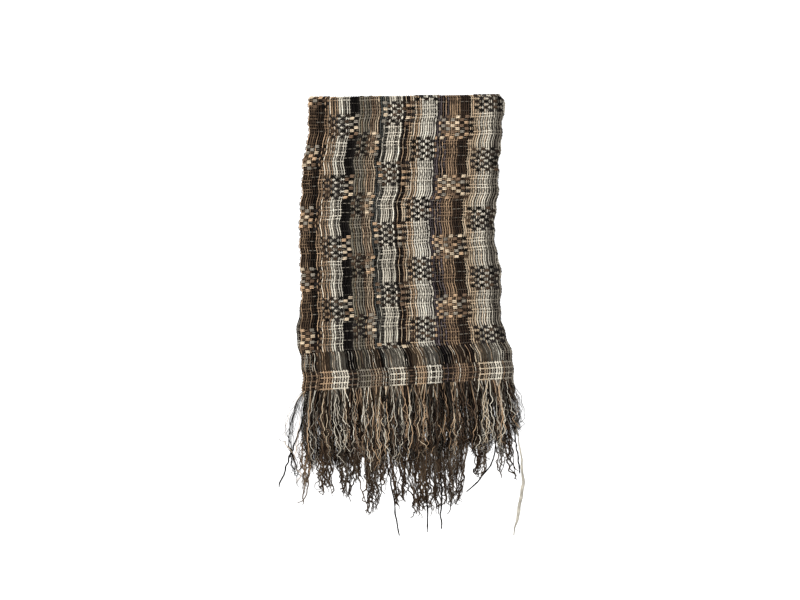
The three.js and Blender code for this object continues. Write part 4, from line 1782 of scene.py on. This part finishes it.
    def tints(
        self,
        rng: np.random.Generator,
        family: Family,
        drawn: Draw,
        across: np.ndarray,
        t: np.ndarray,
    ) -> np.ndarray:
        """Blend each yarn between two colours along its length, darker towards its tip.

        Some yarns take their stripe's colour or their lock's own, and the others are drawn by how
        common each colour is.

        Args:
            rng: The source of the colours.
            family: The kind of yarn.
            drawn: Where the yarns run.
            across: The shares of the width where they are rooted.
            t: The length shares of their samples.

        Returns:
            Colours as yarns by samples by three.
        """
        count, samples = drawn.root.size, t.size
        main, _ = self.plan.colours()
        own = rng.random(count) < family.own_colour
        first = np.where(own[:, None], main[column_at(across)] * self.own_tone, common_yarns(rng, count))
        for number, lock in enumerate(self.locks):
            if lock.colour is not None and lock.strands > 1:
                first[drawn.lock == number] = lock.colour.linear / family.tone * self.lock_tone
        blend = ease(0.2 + 0.8 * waver(rng, count, samples, 7.0), 0.0, 1.0)[..., None]
        tint = first[:, None] * (1 - blend) + common_yarns(rng, count)[:, None] * blend
        # A family's tone, low for the lower family, is partly painted shade under the yarns above.
        tint = tint * family.tone * (1.0 - self.tip_shade * ease(t, 0.6, 1.0))[..., None]
        return tint * (1 - self.umber) + Yarn.DARK_BROWN.linear * 0.55 * self.umber

    def sweep(self, rng: np.random.Generator, family: Family, drawn: Draw, bundle: Bundle) -> None:
        """Add a family's yarns to the fringe.

        A yarn's x eases from its root to its tip by a power of its length share and swings by a
        sine, with its wavers and curls added. Its samples lie closer together towards its tip.

        Args:
            rng: The source of the draws.
            family: The kind of yarn.
            drawn: Where its yarns run.
            bundle: The fringe's mesh.
        """
        count, samples = drawn.root.size, family.samples
        t = 1 - (1 - np.linspace(0, 1, samples)[None]) ** 1.3
        across = self.cloth.share_of(drawn.root, self.hem, self.peep)
        x0, y0 = self.cloth.plan(across, np.full(count, self.hem - self.root_lap), self.peep)
        x1, y1 = drawn.tip + self.cloth.shift[0], -drawn.reach + self.cloth.shift[1]
        length = (y0 - y1)[:, None]
        lag = np.array([lock.lag for lock in self.locks])[drawn.lock][:, None]
        x = x0[:, None] + (x1 - x0)[:, None] * t**lag + drawn.bow[:, None] * np.sin(np.pi * t)
        x = x + self.wavers(rng, drawn, t)
        right, up = self.curls(rng, family, drawn, t, length)
        thick = rng.uniform(*family.half_width, (count, 1)) * (1 - self.tip_taper * ease(t, 0.9, 1.0))
        tall = np.minimum(thick * self.flatness, self.most_tall)
        z = self.heights.at(t) + rng.uniform(*family.layer, count)[:, None] * (0.5 + 0.5 * t)
        z = np.maximum(z + 0.4 * waver(rng, count, samples, 7.0), tall + self.clearance)
        points = np.stack([x + right, y0[:, None] - length * t + up, z], axis=-1)
        bundle.add(points * MM, self.tints(rng, family, drawn, across, t), thick, tall)

    def singles(self, rng: np.random.Generator, bundle: Bundle) -> None:
        """Add the long single yarns that hang out below the fringe, each along its own line.

        The pale one is untwisted below its middle and so plumper there.

        Args:
            rng: The source of their wavers.
            bundle: The fringe's mesh.
        """
        samples = 70
        t = np.linspace(0, 1, samples)
        for lock in self.locks:
            if lock.strands > 1 or lock.colour is None:
                continue
            across = self.cloth.share_of(np.float64(lock.start), self.hem, self.peep)
            x0, y0 = self.cloth.plan(across, np.float64(self.hem - self.root_lap), self.peep)
            x1, y1 = lock.tip + self.cloth.shift[0], -lock.reach + self.cloth.shift[1]
            x = x0 + (x1 - x0) * t**lock.lag + lock.bow * np.sin(np.pi * t)
            slow, quick = waver(rng, 1, samples, 6.0)[0], waver(rng, 1, samples, 18.0)[0]
            x = x + ease(t, 0.05, 0.4) * (3.0 * slow + 1.8 * quick)
            y = y0 + (y1 - y0) * t
            pale = lock.colour.linear.mean() > PALE_FROM
            fibre = waver(rng, 1, samples, 40.0)[0]
            plump = 1.5 + 2.0 * ease(t, 0.35, 0.7) * (1 - ease(t, 0.8, 1.0)) + 0.5 * fibre
            thick = plump if pale else 1.5 + 0.35 * fibre
            thick = thick * (1 - 0.4 * ease(t, 0.95, 1.0))
            tall = np.minimum(thick, self.most_tall)
            z =np.maximum(self.heights.at(t) + 0.3 * slow, tall + self.clearance)
            tint = lock.colour.linear * ((0.52 if pale else 0.8) + 0.2 * fibre[:, None])
            line = np.stack([x, y, z], axis=-1)[None] * MM
            bundle.add(line, tint[None], thick[None], tall[None], sides=5)

    def build(self) -> bpy.types.Object:
        """Build every yarn of the fringe as one mesh.

        Returns:
            The fringe.
        """
        rng = np.random.default_rng(self.seed)
        bundle = Bundle(self.name)
        for family in self.families:
            self.sweep(rng, family, self.draw(rng, family), bundle)
        self.singles(rng, bundle)
        finish = YarnFinish(self.name.replace("_", " "), sheen=0.0, specular=0.01, ply_pitch=2.2)
        return self.keep(bundle.build(finish.material(self.effects)), self.slot, self.node)


@dataclass
class Studio:
    """The pale floor, the soft lights and the camera straight above.

    The camera is placed by the fold's left end, which lies at fold_left_pixel in the picture.
    """

    millimetres_per_pixel: float = 2.1
    picture: tuple[int, int] = (800, 600)
    fold_left_pixel: tuple[float, float] = (401.5, 96.5)
    lens: float = 85.0
    sensor: float = 36.0
    floor_half: float = 6.0
    sky_strength: float = 0.9

    def floor(self) -> None:
        """Lay a large pale floor under the scarf."""
        half = self.floor_half
        mesh = bpy.data.meshes.new("floor")
        corners = [(-half, -half, 0), (half, -half, 0), (half, half, 0), (-half, half, 0)]
        mesh.from_pydata(corners, [], [(0, 1, 2, 3)])
        floor = bpy.data.objects.new("floor", mesh)
        bpy.context.scene.collection.objects.link(floor)
        paper, shader = start_material("pale paper", roughness=0.9, specular=0.1)
        shader.inputs["Base Color"].default_value = (0.9, 0.9, 0.9, 1.0)
        mesh.materials.append(paper)

    def light(self, name: str, place: tuple[float, float, float], size: float, power: float) -> None:
        """Hang a square soft light that faces the scarf.

        Args:
            name: The light's name.
            place: Where it hangs, in metres.
            size: The length of its side.
            power: Its power in watts.
        """
        lamp = bpy.data.lights.new(name, "AREA")
        lamp.size = size
        lamp.energy = power
        lit = bpy.data.objects.new(name, lamp)
        bpy.context.scene.collection.objects.link(lit)
        lit.location = place
        x, y, z = place
        away = math.atan2(math.hypot(x, y), z)
        lit.rotation_euler = (away, 0.0, math.atan2(y, x) + math.pi / 2)

    def camera(self, cloth: FoldedCloth) -> None:
        """Put the camera straight above the middle of the picture.

        Args:
            cloth: The folded cloth, which says where the fold's left end lies.
        """
        width, height = self.picture
        across = (width / 2 - self.fold_left_pixel[0]) * self.millimetres_per_pixel
        down = (height / 2 - self.fold_left_pixel[1]) * self.millimetres_per_pixel
        spot = bpy.data.cameras.new("camera")
        spot.lens = self.lens
        spot.sensor_width = self.sensor
        camera = bpy.data.objects.new("camera", spot)
        bpy.context.scene.collection.objects.link(camera)
        away = self.lens / self.sensor * width * self.millimetres_per_pixel * MM
        camera.location = ((across + cloth.shift[0]) * MM, (-down + cloth.shift[1]) * MM, away)
        camera.rotation_euler = (0.0, 0.0, 0.0)
        bpy.context.scene.camera = camera

    def build(self, cloth: FoldedCloth) -> None:
        """Build the floor, the lights, the sky and the camera.

        Args:
            cloth: The folded cloth, which the camera is placed by.
        """
        self.floor()
        self.light("key", place=(-1.6, 1.4, 2.4), size=1.2, power=124.0)
        self.light("fill", place=(1.8, -0.6, 2.6), size=2.0, power=24.0)
        world = bpy.data.worlds.new("soft sky")
        world.use_nodes = True
        sky = world.node_tree.nodes["Background"]
        sky.inputs["Color"].default_value = (1.0, 1.0, 1.0, 1.0)
        sky.inputs["Strength"].default_value = self.sky_strength
        bpy.context.scene.world = world
        bpy.context.scene.view_settings.view_transform = "Standard"
        self.camera(cloth)


def main() -> None:
    """Build the scarf part by part, and report each piece."""
    logging.basicConfig(level=logging.INFO, format="%(name)s: %(message)s")
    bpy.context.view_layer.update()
    cloth = FoldedCloth()
    plan = StripePlan()
    effects = SharedEffects()
    Studio().build(cloth)
    panel = PatternedPanel(cloth, plan, effects)
    threads = BareThreads(cloth, plan, effects)
    border = LatticeBorder(cloth, plan, effects)
    hidden = HiddenHalf(cloth, plan, effects)
    panel_ground, border_ground, hidden_ground = panel.build(), border.build(), hidden.build()
    bare = threads.build()
    showing_fringe = Fringe(cloth, plan, effects, name="showing_fringe_yarns").build()
    hidden_fringe = Fringe(
        cloth,
        plan,
        effects,
        name="hidden_fringe_yarns",
        node="hidden_fringe",
        slot="hidden_fringe_yarn",
        locks=HIDDEN_LOCKS,
        hem=cloth.hidden_hem,
        peep=1.0,
        seed=6,
        heights=Curve((0.0, 0.25, 1.0), (1.2, 1.1, 0.9)),
        umber=0.6,
        scatter=1.4,
        families=(
            Family(4.2, 34, (0.42, 0.7), 0.15, 2.4, 0.45, 5.0, (-0.3, 0.6), 0.1, (0.45, 0.8), 0.2),
            Family(2.3, 66, (0.66, 1.04), 0.9, 5.2, 0.35, 6.0, (-0.2, 0.9), 0.1, (0.75, 1.4), 0.3),
        ),
    ).build()
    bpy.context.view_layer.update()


if __name__ == "__main__":
    main()
